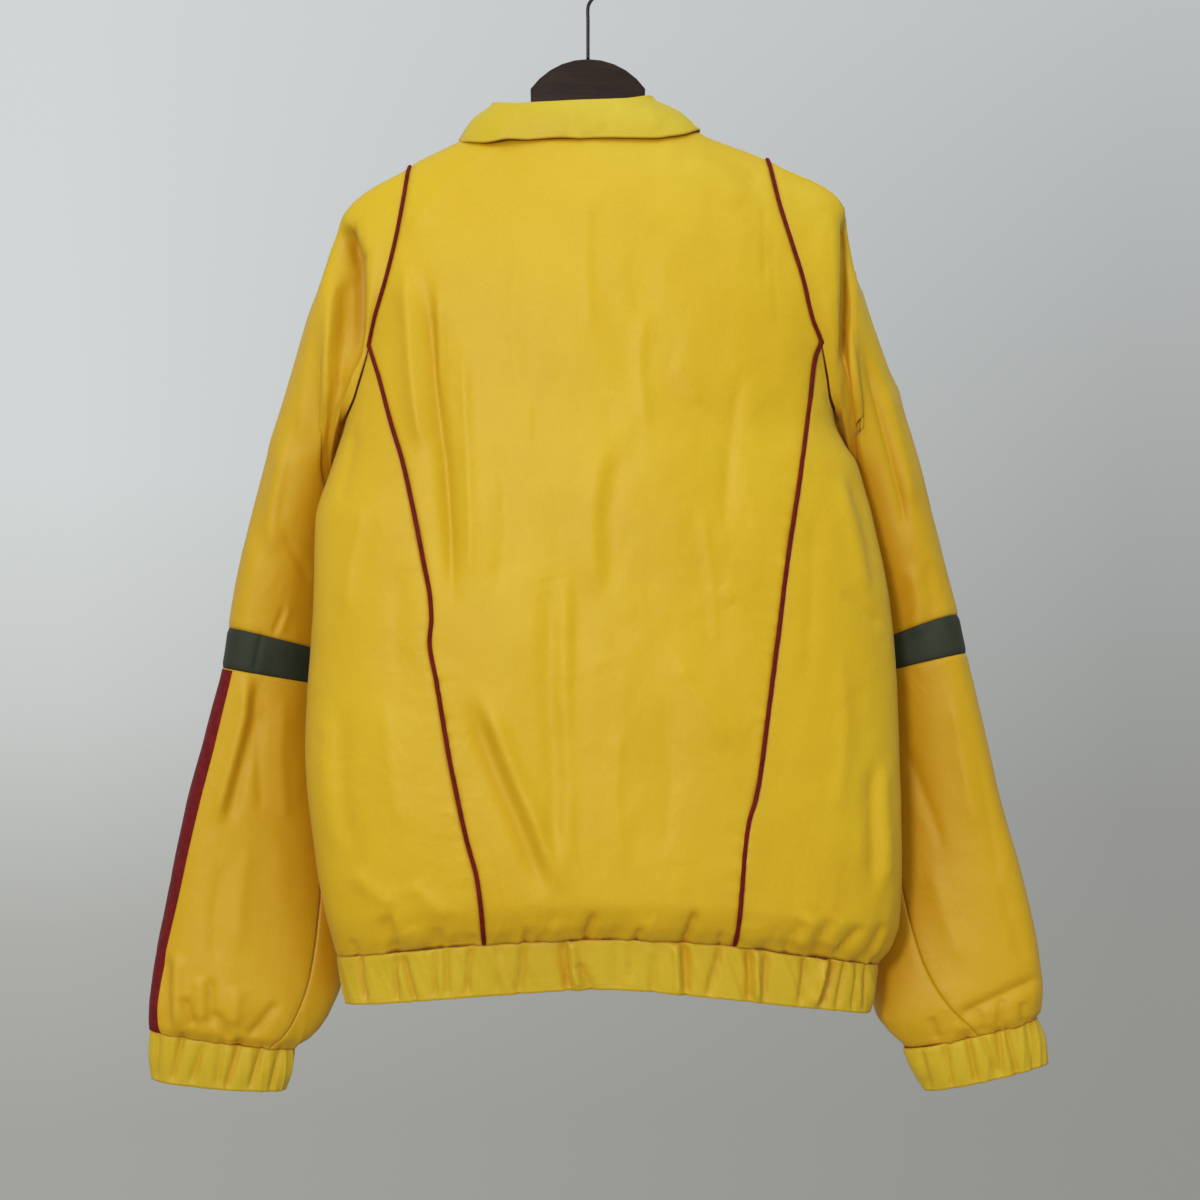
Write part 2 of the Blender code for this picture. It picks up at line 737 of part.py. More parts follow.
def collar(turn, t):
    """Points [t, turn]: t 0 at the foot of the stand, 1 at the fold, 2 at the fall's edge."""
    foot, fold, edge = collar_sections(turn)
    out = edge - foot
    out[:, 2] = 0
    mid = np.array([COLLAR_MID_FOLD, 8.0, 0.0])
    ray = fold - mid
    ray[:, 2] = 0
    ray /= np.maximum(np.linalg.norm(ray, axis=1, keepdims=True), 1e-9)
    up = np.array([0, 0, 1.0])
    gap = FOLD_HALF
    run = np.gradient(foot, axis=0)
    side = np.where(np.abs(turn) <= 90, -1, 1)
    away = np.zeros_like(foot)
    for s in (-1, 1):
        n = torso_normal(foot[:, 0], foot[:, 2], s)
        away = np.where((side == s)[:, None], np.cross(n, run), away)
    hole = np.array([NECK_X, 0, -140.0]) - foot
    away *= np.sign(np.sum(away * hole, axis=1, keepdims=True))
    away /= np.maximum(np.linalg.norm(away, axis=1, keepdims=True), 1e-9)
    knots = np.stack(
        [
            foot + away * 1.5 + up * 0.2,
            foot * 0.45 + fold * 0.55 - ray * (gap + 0.6),
            fold - ray * gap - up * 2.2,
            fold,
            fold + ray * gap - up * 2.2,
            fold * 0.5 + edge * 0.5 + ray * 1.6 + up * 1.5,
            edge,
        ]
    )
    at = np.array([0, 0.55, 0.93, 1.0, 1.07, 1.5, 2.0])
    flat = knots.reshape(len(at), -1)
    t = np.asarray(t, float)
    return monotone(at, flat, t).reshape(len(t), -1, 3)


# ------------------------------------------------------------ hanger and hook
DOME_TOP_Z, DOME_R = -96.6, 59.0
ARM_CLEAR, ARM_DEEP = 5.5, 33.0
HANGER_HALF = 6.6
ARM_END = {-1: -196.0, 1: 205.5}
NECK_SIDE = 48.0          # half the wood's width where the arms start
WIRE_R, HOOK_R = 1.5, 20.5


def hanger_outline():
    """The hanger's outline in its own plane, x and z, from the left tip clockwise."""
    dome_mid = DOME_TOP_Z - DOME_R
    dome = [
        (DOME_R * math.sin(math.radians(a)), dome_mid + DOME_R * math.cos(math.radians(a)))
        for a in range(-55, 56, 11)
    ]
    top, under = {}, {}
    for hand in (-1, 1):
        end = ARM_END[hand]
        line = [(hand * NECK_SIDE, -137.0), (hand * (NECK_SIDE + 2), -150.0)]
        for x in (62, 76, 92, 120, 150, 175):
            side = abs(NECK_X + hand * NECK_HALF)
            drop = ARM_CLEAR + 4.0 * math.exp(-(((x - side) / 18) ** 2))
            line.append((hand * x, float(RIDGE.at("z", hand * x)) - drop))
        zt = float(RIDGE.at("z", end)) - ARM_CLEAR
        line += [
            (end - hand * 7, zt + 4.0),
            (end - hand * 1.5, zt - 1.5),
            (end, zt - 8),
            (end - hand * 4, zt - 15),
        ]
        top[hand] = line
        under[hand] = [
            (hand * x, float(RIDGE.at("z", hand * x)) - ARM_CLEAR - ARM_DEEP * (0.6 + 0.4 * (1 - x / 190)) - 4)
            for x in (168, 140, 110, 80, 50, 22)
        ]
    return (
        list(reversed(top[-1]))
        + dome
        + top[1]
        + under[1]
        + [(0.0, -187.0)]
        + list(reversed(under[-1]))
    )


# ------------------------------------------------------------------ builders
MM = 0.001
CLOTH, BAND = 1.2, 2.0    # wall thickness of the cloth and of the elastic pieces
SEAM = 0.16               # each side of a seam stands back this far

COLOURS = {
    "yellow": (0.72, 0.5, 0.03, 1),
    "dark_band": (0.04, 0.05, 0.04, 1),
    "piping_red": (0.2, 0.01, 0.01, 1),
    "stripe_red": (0.22, 0.015, 0.025, 1),
    "zip_dark": (0.03, 0.03, 0.03, 1),
    "metal": (0.5, 0.5, 0.48, 1),
    "wood": (0.035, 0.02, 0.017, 1),
    "black_wire": (0.01, 0.01, 0.01, 1),
}


def clear():
    for o in list(bpy.data.objects):
        bpy.data.objects.remove(o, do_unlink=True)


def material(name):
    m = bpy.data.materials.get(name)
    if m is None:
        m = bpy.data.materials.new(name)
        m.use_nodes = True
        shader = m.node_tree.nodes["Principled BSDF"]
        shader.inputs["Base Color"].default_value = COLOURS[name]
        shader.inputs["Roughness"].default_value = 0.35 if name == "metal" else 0.6
        shader.inputs["Metallic"].default_value = 1.0 if name == "metal" else 0.0
        m.diffuse_color = COLOURS[name]
    return m


def make(name, verts, faces, slot, at=(0, 0, 0)):
    """An object from points in mm; at is its own origin, mm."""
    at = Vector(at)
    mesh = bpy.data.meshes.new(name)
    mesh.from_pydata([tuple((Vector(p) - at) * MM) for p in verts], [], faces)
    bm = bmesh.new()
    bm.from_mesh(mesh)
    bmesh.ops.recalc_face_normals(bm, faces=bm.faces)
    if bm.calc_volume(signed=True) < 0:
        bmesh.ops.reverse_faces(bm, faces=bm.faces)
    bm.to_mesh(mesh)
    bm.free()
    o = bpy.data.objects.new(name, mesh)
    o.location = at * MM
    bpy.context.scene.collection.objects.link(o)
    mesh.materials.append(material(slot))
    return o


def wall(name, p, n, thick, slot, cyclic=False):
    """A sheet of the given thickness about the grid of points p [v, u], normals n. It
    folds along the shorter diagonal of each square, the same one on both faces."""
    rows, cols = p.shape[:2]
    outer = (p + n * thick / 2).reshape(-1, 3)
    inner = (p - n * thick / 2).reshape(-1, 3)
    flat, off = p.reshape(-1, 3), rows * cols
    at = lambda i, j: i * cols + j % cols
    faces = []
    span = cols if cyclic else cols - 1
    for i in range(rows - 1):
        for j in range(span):
            q = [at(i, j), at(i, j + 1), at(i + 1, j + 1), at(i + 1, j)]
            first = np.linalg.norm(flat[q[0]] - flat[q[2]])
            second = np.linalg.norm(flat[q[1]] - flat[q[3]])
            if first <= second:
                parts = [[q[0], q[1], q[2]], [q[0], q[2], q[3]]]
            else:
                parts = [[q[0], q[1], q[3]], [q[1], q[2], q[3]]]
            for part in parts:
                faces.append(part)
                faces.append([k + off for k in reversed(part)])
    for j in range(span):
        faces.append([at(0, j + 1), at(0, j), at(0, j) + off, at(0, j + 1) + off])
        k = rows - 1
        faces.append([at(k, j), at(k, j + 1), at(k, j + 1) + off, at(k, j) + off])
    if not cyclic:
        for i in range(rows - 1):
            faces.append([at(i, 0), at(i + 1, 0), at(i + 1, 0) + off, at(i, 0) + off])
            k = cols - 1
            faces.append([at(i + 1, k), at(i, k), at(i, k) + off, at(i + 1, k) + off])
    return make(name, np.concatenate([outer, inner]), faces, slot)


def inset(p, bottom=0.0, top=0.0, start=0.0, end=0.0):
    """Move the edges of a grid of points inward along the sheet, mm."""
    p = p.copy()

    def shift(a, b, by):
        d = b - a
        return a + d / np.maximum(np.linalg.norm(d, axis=-1, keepdims=True), 1e-9) * by

    q = p.copy()
    if bottom:
        q[0] = shift(p[0], p[1], bottom)
    if top:
        q[-1] = shift(p[-1], p[-2], top)
    r = q.copy()
    if start:
        r[:, 0] = shift(q[:, 0], q[:, 1], start)
    if end:
        r[:, -1] = shift(q[:, -1], q[:, -2], end)
    return r


def torso_wall(name, p, side, slot, **edges):
    n = torso_normal(p[..., 0], p[..., 2], side)
    return wall(name, inset(p, **edges), n, CLOTH, slot)


def grid_normals(f, u, v, eu=0.004, ev=0.03, lo=0.0, hi=15.0):
    """Normals of the surface f(u, v) at the grid of u and v."""
    du = f(u + eu, v) - f(u - eu, v)
    dv = f(u, np.minimum(v + ev, hi)) - f(u, np.maximum(v - ev, lo))
    n = np.cross(du, dv)
    return n / np.maximum(np.linalg.norm(n, axis=2, keepdims=True), 1e-9)


def armhole_normal(hand, u):
    """Normals along the armhole at a sleeve's turns u: the torso's, and the sleeve's own
    towards the underarm."""
    back = (u <= 0.5)[:, None]
    w = np.where(u <= 0.5, 2 * u, 2 - 2 * u)
    p = np.where(back, armhole(hand, -1, w), armhole(hand, 1, w))
    n = np.where(back, torso_normal(p[:, 0], p[:, 2], -1), torso_normal(p[:, 0], p[:, 2], 1))
    own = sleeve_normals(hand, u, np.array([0.0]))[0]
    blend = pit_blend(w)[:, None]
    n = n * (1 - blend) + own * blend
    return n / np.linalg.norm(n, axis=1, keepdims=True)


def sleeve_normals(hand, u, v):
    n = grid_normals(lambda a, b: sleeve(hand, a, b), u, v)
    around = np.linspace(0, 1, 24, endpoint=False)
    far = sleeve(hand, around, np.array([6.0]))[0]
    check = grid_normals(lambda a, b: sleeve(hand, a, b), around, np.array([6.0]))[0]
    return n * np.sign(np.mean(np.sum(check * (far - far.mean(axis=0)), axis=1)))


PIT_TURN = 0.5            # how far the end of a sleeve at the underarm turns with its cloth


def sleeve_wall(name, hand, u, v, thick, slot, **edges):
    p, n = sleeve(hand, u, v), sleeve_normals(hand, u, v)
    if v[0] == 0:
        # rows either side of the break: square to the facets that meet there
        step = np.diff(p, axis=0)
        step /= np.linalg.norm(step, axis=2, keepdims=True)
        round_ = np.roll(p, -1, axis=1) - np.roll(p, 1, axis=1)
        facet = np.cross(round_[1:-1], step[1:] + step[:-1])
        facet /= np.linalg.norm(facet, axis=2, keepdims=True)
        facet *= np.sign(np.sum(facet[-1] * n[-2]))
        n[1:-1] = facet
        n[0] = armhole_normal(hand, u)
        deep = pit_blend(np.where(u <= 0.5, 2 * u, 2 - 2 * u))[:, None] * PIT_TURN
        n[0] = n[0] * (1 - deep) + n[1] * deep
        n[0] /= np.linalg.norm(n[0], axis=1, keepdims=True)
    return wall(name, inset(p, **edges), n, thick, slot, True)


def cord(name, p, n, half_w, half_t, slot, sides=8, ends=(0, 0)):
    """An oval cord along the points p, flat side on the cloth whose normals are n."""
    p, n = np.asarray(p, float), np.asarray(n, float)
    p[0] += (p[1] - p[0]) / np.linalg.norm(p[1] - p[0]) * ends[0]
    p[-1] += (p[-2] - p[-1]) / np.linalg.norm(p[-2] - p[-1]) * ends[1]
    along = np.gradient(p, axis=0)
    across = np.cross(along, n)
    across /= np.linalg.norm(across, axis=1, keepdims=True)
    up = np.cross(across, along)
    up /= np.linalg.norm(up, axis=1, keepdims=True)
    verts, faces = [], []
    for i in range(len(p)):
        for k in range(sides):
            a = 2 * math.pi * (k + 0.5) / sides
            verts.append(p[i] + across[i] * half_w * math.cos(a) + up[i] * half_t * math.sin(a))
    for i in range(len(p) - 1):
        for k in range(sides):
            a, b = i * sides + k, i * sides + (k + 1) % sides
            faces.append([a, b, b + sides, a + sides])
    faces.append(list(range(sides)))
    faces.append([(len(p) - 1) * sides + k for k in range(sides)])
    return make(name, verts, faces, slot)


def boolean(a, b, op):
    m = a.modifiers.new("cut", "BOOLEAN")
    m.operation = op
    m.solver = "EXACT"
    m.object = b
    dg = bpy.context.evaluated_depsgraph_get()
    dg.update()
    mesh = bpy.data.meshes.new_from_object(a.evaluated_get(dg))
    a.modifiers.clear()
    a.data = mesh
    bpy.data.objects.remove(b, do_unlink=True)
    return a


def box(name, lo, hi, slot):
    (x0, y0, z0), (x1, y1, z1) = lo, hi
    v = [(x0, y0, z0), (x1, y0, z0), (x1, y1, z0), (x0, y1, z0)]
    v += [(x0, y0, z1), (x1, y0, z1), (x1, y1, z1), (x0, y1, z1)]
    f = [(0, 3, 2, 1), (4, 5, 6, 7), (0, 1, 5, 4), (1, 2, 6, 5), (2, 3, 7, 6), (3, 0, 4, 7)]
    return make(name, v, f, slot)


# -------------------------------------------------------------------- pieces
def build_torso():
    every = dict(bottom=0.35, top=SEAM, start=SEAM, end=SEAM)
    torso_wall("back_centre", back_centre(), -1, "yellow", **every)
    for hand, tag in ((-1, "L"), (1, "R")):
        torso_wall(f"side_back_{tag}", side_back(hand), -1, "yellow", **{**every, "top": 0.45})
        torso_wall(f"front_{tag}", front(hand), 1, "yellow", **every)
    turn, v = np.linspace(0, 1, 41), np.linspace(0, 1, 3)
    p = hem_band(turn, v)
    n = np.zeros_like(p)
    side = np.where(p[..., 1] < 0, -1, 1)
    for s in (-1, 1):
        n = np.where((side == s)[..., None], torso_normal(p[..., 0], p[..., 2], s), n)
    wall("hem_band", inset(p, bottom=SEAM), n, BAND, "yellow")


ROWS = CAP_ROWS + PIT_ROWS[1:]
AROUND = np.array([w / 2 for w in ROWS] + [1 - w / 2 for w in ROWS[-2:0:-1]])


def build_sleeves():
    for hand, tag in ((-1, "L"), (1, "R")):
        v = np.array([0, 1, 2, 3, 4, 5, 6, 7.0])
        sleeve_wall(f"sleeve_upper_{tag}", hand, AROUND, v, CLOTH, "yellow", bottom=0.3, top=SEAM)
        v = np.array([7.0, 8.0])
        sleeve_wall(f"sleeve_band_{tag}", hand, AROUND, v, CLOTH, "dark_band", bottom=SEAM, top=SEAM)
        v = np.array([8, 9.3, 10.6, 11.9, 13, 13.6, 14.0])
        a, b = UNDER_SEAM[hand].at("back", v), UNDER_SEAM[hand].at("front", v)
        for piece, lo, hi, count in (("outer", b - 1, a, 17), ("under", a, b, 8)):
            rows, normals = [], []
            for i in range(len(v)):
                u = lo[i] + (hi[i] - lo[i]) * np.linspace(0, 1, count)
                vv = v[i : i + 1]
                rows.append(sleeve(hand, u, vv)[0])
                normals.append(sleeve_normals(hand, u, vv)[0])
            p = inset(np.array(rows), SEAM, SEAM, SEAM, SEAM)
            wall(f"sleeve_{piece}_{tag}", p, np.array(normals), CLOTH, "yellow")
        v = np.array([14, 14.5, 15.0])
        sleeve_wall(f"cuff_{tag}", hand, AROUND, v, BAND, "yellow", bottom=SEAM)


def build_collar():
    half = [15, 30, 45, 60, 72, 82, 90, 98, 106, 116, 128, 140, 152, 163, COLLAR_GAP]
    turn = np.array([-a for a in reversed(half)] + [0.0] + half)
    t = np.array([0, 0.5, 0.93, 1.0, 1.07, 1.5, 2.0])
    p = collar(turn, t)
    n = normals_of(p)
    mid = np.array([COLLAR_MID_FOLD, 5.0, -150.0])
    if np.mean(np.sum(n[-1] * (p[-1] - mid), axis=1)) < 0:
        n = -n
    wall("collar", p, n, CLOTH, "yellow")


PIPE_HALF, PIPE_THICK, PIPE_LIFT, ARM_PIPE_LIFT = 1.8, 0.9, 1.85, 2.2


def build_trim():
    for hand, tag in ((-1, "L"), (1, "R")):
        back, fore = np.array(CAP_ROWS[::-1]), np.array(CAP_ROWS[1:-1])
        p = np.concatenate([armhole(hand, -1, back), armhole(hand, 1, fore)])
        u = np.concatenate([back / 2, 1 - fore / 2])
        n = armhole_normal(hand, u) * 2 + sleeve_normals(hand, u, np.array([0.2]))[0]
        n /= np.linalg.norm(n, axis=1, keepdims=True)
        cord(f"piping_arm_{tag}", p + n * ARM_PIPE_LIFT, n, PIPE_HALF, PIPE_THICK, "piping_red", 6)
        x, z = seam_rows(hand, "piped", -1, LOW_ROWS).T
        p, n = torso(x, z, -1), torso_normal(x, z, -1)
        cord(f"piping_back_{tag}", p + n * PIPE_LIFT, n, PIPE_HALF, PIPE_THICK, "piping_red", 6, (2.0, 4.5))
    v = np.array([8, 9.3, 10.6, 11.9, 13, 13.6, 14.0])
    lo, hi = STRIPE.at("inner", v), STRIPE.at("outer", v)
    p = np.stack([sleeve_strip(-1, v[i : i + 1], np.linspace(lo[i], hi[i], 7))[0] for i in range(len(v))])
    n = normals_of(p)
    if n[..., 1].mean() > 0:
        n = -n
    wall("stripe_L", inset(p + n * 1.75, SEAM, SEAM), n, 1.0, "stripe_red")


# the red stripe's edges, mm round the sleeve's back from its outer line
STRIPE = Table(
    "v inner outer",
    [(8, -4, 11), (10, -4, 15), (12, -4, 16), (14, -3, 17)],
)


def build_zip():
    z = np.linspace(float(hem_z(18.0, "edge", 1)), float(neck_z(-13.0, 1)) + 1.0, 26)
    x = ZIP.at("x", z)
    across = np.linspace(-ZIP_HALF, ZIP_HALF, 3)
    p = torso(x[:, None] + across[None, :], z[:, None] + 0 * across[None, :], 1)
    n = torso_normal(p[..., 0], p[..., 2], 1)
    wall("zip", p, n, BAND, "zip_dark")
    # the slider near the top of the zip, and its pull hanging on the slider's bar
    zs = -237.0
    c = torso(ZIP.at("x", zs), zs, 1)
    lo = torso(ZIP.at("x", zs - 24), zs - 24, 1)
    lean = math.atan2(float(lo[1] - c[1]), 24.0)
    base = Vector((float(c[0]), float(c[1]), zs))
    turn = Matrix.Rotation(lean, 4, "X")
    place = lambda o: o.data.transform(Matrix.Translation(base * MM) @ turn)
    plate = box("slider", (-4.6, 1.35, -5.0), (4.6, 3.6, 6.0), "metal")
    for s in (-1, 1):
        lo_x, hi_x = sorted((s * 4.4, s * 3.2))
        ear = box("ear", (lo_x, 3.2, 1.6), (hi_x, 7.6, 5.2), "metal")
        plate = boolean(plate, ear, "UNION")
    bar = tube("bar", (-4.0, 5.8, 3.4), (4.0, 5.8, 3.4), 0.7)
    plate = boolean(plate, bar, "UNION")
    place(plate)
    eye = tube("pull", (-2.6, 5.8, 3.4), (2.6, 5.8, 3.4), 1.9)
    tab = box("tab", (-2.6, 4.9, -24.0), (2.6, 6.5, 3.4), "metal")
    pull = boolean(eye, tab, "UNION")
    pull = boolean(pull, tube("hole", (-4, 5.8, 3.4), (4, 5.8, 3.4), 1.05), "DIFFERENCE")
    pull = boolean(pull, box("slot", (-1.3, 4, -22.0), (1.3, 8, -13.0), "metal"), "DIFFERENCE")
    place(pull)
    pivot = base + turn.to_3x3() @ Vector((0, 5.8, 3.4))
    pull.data.transform(Matrix.Translation(-pivot * MM))
    pull.location = pivot * MM
    for o in (plate, pull):
        o.data.materials.clear()
        o.data.materials.append(material("metal"))
    return pivot


def tube(name, a, b, r, sides=12):
    """A round bar from a to b."""
    a, b = Vector(a), Vector(b)
    d = (b - a).normalized()
    x = d.orthogonal().normalized()
    y = d.cross(x)
    verts, n = [], sides
    for p in (a, b):
        for k in range(n):
            t = 2 * math.pi * k / n
            verts.append(p + x * r * math.cos(t) + y * r * math.sin(t))
    faces = [[k, (k + 1) % n, n + (k + 1) % n, n + k] for k in range(n)]
    faces += [list(range(n)), list(range(n, 2 * n))]
    return make(name, verts, faces, "metal")


def build_hanger():
    line = hanger_outline()
    n = len(line)
    # four levels through the thickness: the edges are rounded over
    verts, faces = [], []
    centre = np.array(line).mean(axis=0)
    pts = np.array(line)
    inward = []
    for i in range(n):
        d = pts[(i + 1) % n] - pts[i - 1]
        d = d / np.linalg.norm(d)
        inward.append((d[1], -d[0]))
    inward = np.array(inward)
    thin = HANGER_HALF - 2.5 * np.clip((np.abs(pts[:, 0]) - 110) / 80, 0, 1)
    for y, by in ((-1, 2.4), (-0.68, 0), (0.68, 0), (1, 2.4)):
        q = pts + inward * by
        verts += [(q[i][0], y * thin[i], q[i][1]) for i in range(n)]
    for k in range(3):
        for i in range(n):
            j = (i + 1) % n
            faces.append([k * n + i, k * n + j, (k + 1) * n + j, (k + 1) * n + i])
    faces += [list(range(n)), list(range(3 * n, 4 * n))]
    make("hanger", verts, faces, "wood")
    # the wire: straight up from the wood, out to the right and round the open hook
    path = [(0, -96.1), (0, -80), (0, -64), (0, -53), (2.6, -46.8), (8.4, -41), (13.8, -34.2)]
    mid_z = WIRE_R - HOOK_R
    for a in range(-22, 204, 12):
        t = math.radians(a)
        path.append((HOOK_R * math.cos(t), mid_z + HOOK_R * math.sin(t)))
    p = np.array([(x, 0, z) for x, z in path], float)
    cord("hook", p, np.tile([0.0, -1.0, 0.0], (len(p), 1)), WIRE_R, WIRE_R, "black_wire", sides=10)


clear()
build_torso()
build_sleeves()
build_collar()
build_trim()
build_zip()
build_hanger()
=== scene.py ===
"""The windbreaker's looks: fine cloth shells laid on the frame's panels."""
import json
import math

import bpy
import numpy as np
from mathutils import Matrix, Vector

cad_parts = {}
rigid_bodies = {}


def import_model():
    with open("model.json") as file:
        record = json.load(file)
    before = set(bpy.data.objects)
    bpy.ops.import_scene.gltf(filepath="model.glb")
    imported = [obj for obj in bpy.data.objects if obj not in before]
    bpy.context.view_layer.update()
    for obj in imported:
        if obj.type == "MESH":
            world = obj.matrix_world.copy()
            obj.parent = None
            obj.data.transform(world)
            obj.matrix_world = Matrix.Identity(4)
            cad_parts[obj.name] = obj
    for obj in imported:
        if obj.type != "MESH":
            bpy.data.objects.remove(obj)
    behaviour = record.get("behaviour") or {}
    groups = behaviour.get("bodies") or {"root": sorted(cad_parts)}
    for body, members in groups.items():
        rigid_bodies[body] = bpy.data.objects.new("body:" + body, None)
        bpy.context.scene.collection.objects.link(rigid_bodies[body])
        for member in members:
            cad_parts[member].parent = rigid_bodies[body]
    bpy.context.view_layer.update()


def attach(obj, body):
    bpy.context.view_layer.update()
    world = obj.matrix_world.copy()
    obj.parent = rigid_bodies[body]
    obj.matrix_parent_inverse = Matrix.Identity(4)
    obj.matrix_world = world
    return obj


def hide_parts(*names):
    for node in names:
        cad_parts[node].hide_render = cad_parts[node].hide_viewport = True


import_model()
BODY = "jacket"

# ---------------------------------------------------------------- sizes, mm
# The frame: +Z up, origin where the rail touches the inside top of the hook,
# +Y towards the garment's front, -Y towards its back, +X to the wearer's right.
SQUARENESS = 2.4          # how boxy the torso's level sections are
TAPER = 220.0             # drop below the shoulder ridge over which it reaches full depth
SEAM_LEVEL = -850.0       # level of the hem seam in the TORSO table
NECK_X, NECK_HALF = -13.0, 75.0
NECK_DIP_BACK, NECK_DIP_FRONT = 13.5, 76.0


def monotone(xs, ys, x):
    """Monotone cubic through the rows of a table, flat outside it."""
    xs, ys = np.asarray(xs, float), np.asarray(ys, float)
    h = np.diff(xs)
    d = np.diff(ys, axis=0) / (h if ys.ndim == 1 else h[:, None])
    m = np.zeros_like(ys)
    m[0], m[-1] = d[0], d[-1]
    a, b = d[:-1], d[1:]
    w1, w2 = 2 * h[1:] + h[:-1], h[1:] + 2 * h[:-1]
    if ys.ndim > 1:
        w1, w2 = w1[:, None], w2[:, None]
    same = a * b > 0
    m[1:-1] = np.where(
        same,
        (w1 + w2) / (w1 / np.where(same, a, 1) + w2 / np.where(same, b, 1)),
        0,
    )
    x = np.clip(np.asarray(x, float), xs[0], xs[-1])
    i = np.clip(np.searchsorted(xs, x, side="right") - 1, 0, len(h) - 1)
    t = (x - xs[i]) / h[i]
    hi = h[i]
    if ys.ndim > 1:
        t, hi = t[..., None], hi[..., None]
    return (
        (2 * t**3 - 3 * t**2 + 1) * ys[i]
        + (t**3 - 2 * t**2 + t) * hi * m[i]
        + (3 * t**2 - 2 * t**3) * ys[i + 1]
        + (t**3 - t**2) * hi * m[i + 1]
    )


class Table:
    """Rows of sizes under named columns; the first column is the one looked up."""

    def __init__(self, names, rows):
        cols = np.array(rows, float).T
        if cols[0][0] > cols[0][-1]:
            cols = cols[:, ::-1]
        self.names = names.split()
        self.col = dict(zip(self.names, cols))
        self.key = cols[0]

    def at(self, name, x):
        return monotone(self.key, self.col[name], x)

    def points(self, t):
        """Columns x, y, z at t."""
        return np.stack([self.at(n, t) for n in ("x", "y", "z")], axis=-1)


# Torso: the side lines' x, and how deep the back and the front stand off the side plane.
TORSO = Table(
    "z left right back front",
    [
        (-187, -204, 220, 60, 58),
        (-265, -199, 217, 62, 60),
        (-336, -191, 210, 64, 62),
        (-396, -201, 206, 66, 64),
        (-440, -215, 226, 69, 67),
        (-487, -228, 240, 72, 70),
        (-550, -229, 252, 75, 72),
        (-672, -236, 260, 79, 75),
        (-769, -227, 262, 81, 77),
        (-812, -220, 260, 80, 76),
        (-835, -214, 253, 73, 69),
        (-850, -210, 243, 63, 60),
        (-872, -206, 240, 60, 57),
        (-893, -203, 235, 58, 55),
    ],
)
# The shoulder ridge over the hanger, and across the neck as if it ran on.
RIDGE = Table(
    "x z",
    [
        (-206, -226),
        (-149, -187),
        (-107, -166),
        (-88, -157),
        (-13, -140),
        (62, -146),
        (92, -158),
        (150, -181),
        (180, -197),
        (214, -221),
    ],
)
# Hem seam and hem edge along the back.
HEM = Table(
    "x seam edge",
    [
        (-212, -848, -887),
        (-154, -839, -880),
        (-85, -831, -873),
        (12, -826, -867),
        (119, -832, -876),
        (166, -840, -882),
        (203, -846, -887),
        (245, -855, -895),
    ],
)
FRONT_HEM_DROP = -9.0    # the front edge curves up a little less than the back
# Armhole seams down the back, from the ridge to the underarm.
ARMHOLE = {
    -1: Table(
        "z back front",
        [
            (-187, -149, -149),
            (-218, -152.5, -156),
            (-253, -158.5, -164),
            (-286, -166.5, -172),
            (-319, -176.5, -180),
            (-339, -181, -184),
            (-368, -189, -190),
            (-385, -194.5, -194.5),
            (-396, -201, -201),
        ],
    ),
    1: Table(
        "z back front",
        [
            (-181, 150, 150),
            (-218, 157, 160),
            (-253, 167, 169),
            (-286, 177, 178),
            (-319, 185, 186),
            (-337, 192.5, 192),
            (-362, 197.5, 197.5),
            (-382, 201, 201),
            (-393, 206, 206),
        ],
    ),
}
# Side-back seams, from the armhole to the hem.
PRINCESS = {
    -1: Table(
        "z x",
        [
            (-339, -181),
            (-369, -171),
            (-403, -161.5),
            (-436, -151),
            (-469, -143),
            (-518, -133),
            (-550, -127),
            (-566, -126),
            (-583, -127.5),
            (-615, -122),
            (-679, -111),
            (-744, -97),
            (-776, -88.5),
            (-809, -85),
            (-832, -84),
        ],
    ),
    1: Table(
        "z x",
        [
            (-337, 192.5),
            (-352, 187),
            (-386, 182.5),
            (-453, 172.5),
            (-518, 162),
            (-583, 153.5),
            (-647, 145),
            (-695, 138.5),
            (-712, 135),
            (-728, 130),
            (-744, 127.5),
            (-809, 122),
            (-833, 119),
        ],
    ),
}
ZIP = Table("z x", [(-226, -13), (-400, 0), (-650, 14), (-905, 18)])
ZIP_HALF = 4.0            # half the width of the closed zip
UNDERARM_Z = {-1: -396.0, 1: -393.0}
SHOULDER_Z = {-1: -187.0, 1: -181.0}
SHOULDER_X = {-1: -149.0, 1: 150.0}
JOIN_Z = {-1: -339.0, 1: -337.0}


def hem_z(x, which, side):
    """Level of the hem's seam or edge at x, on the back (-1) or the front (+1)."""
    x = np.asarray(x, float)
    z = HEM.at(which, x)
    if side < 0:
        return z
    ends = np.interp(x, [-212, 245], [HEM.at(which, -212.0), HEM.at(which, 245.0)])
    across = np.clip(1 - ((x - 16) / 229) ** 2, 0, 1)
    return ends - FRONT_HEM_DROP * across


def torso_level(x, z, side):
    """The TORSO row to read at x, z: it follows the hem seam near the hem."""
    w = np.clip((-680 - np.asarray(z, float)) / 150, 0, 1)
    w = w * w * (3 - 2 * w)
    return z - (hem_z(x, "seam", side) - SEAM_LEVEL) * w


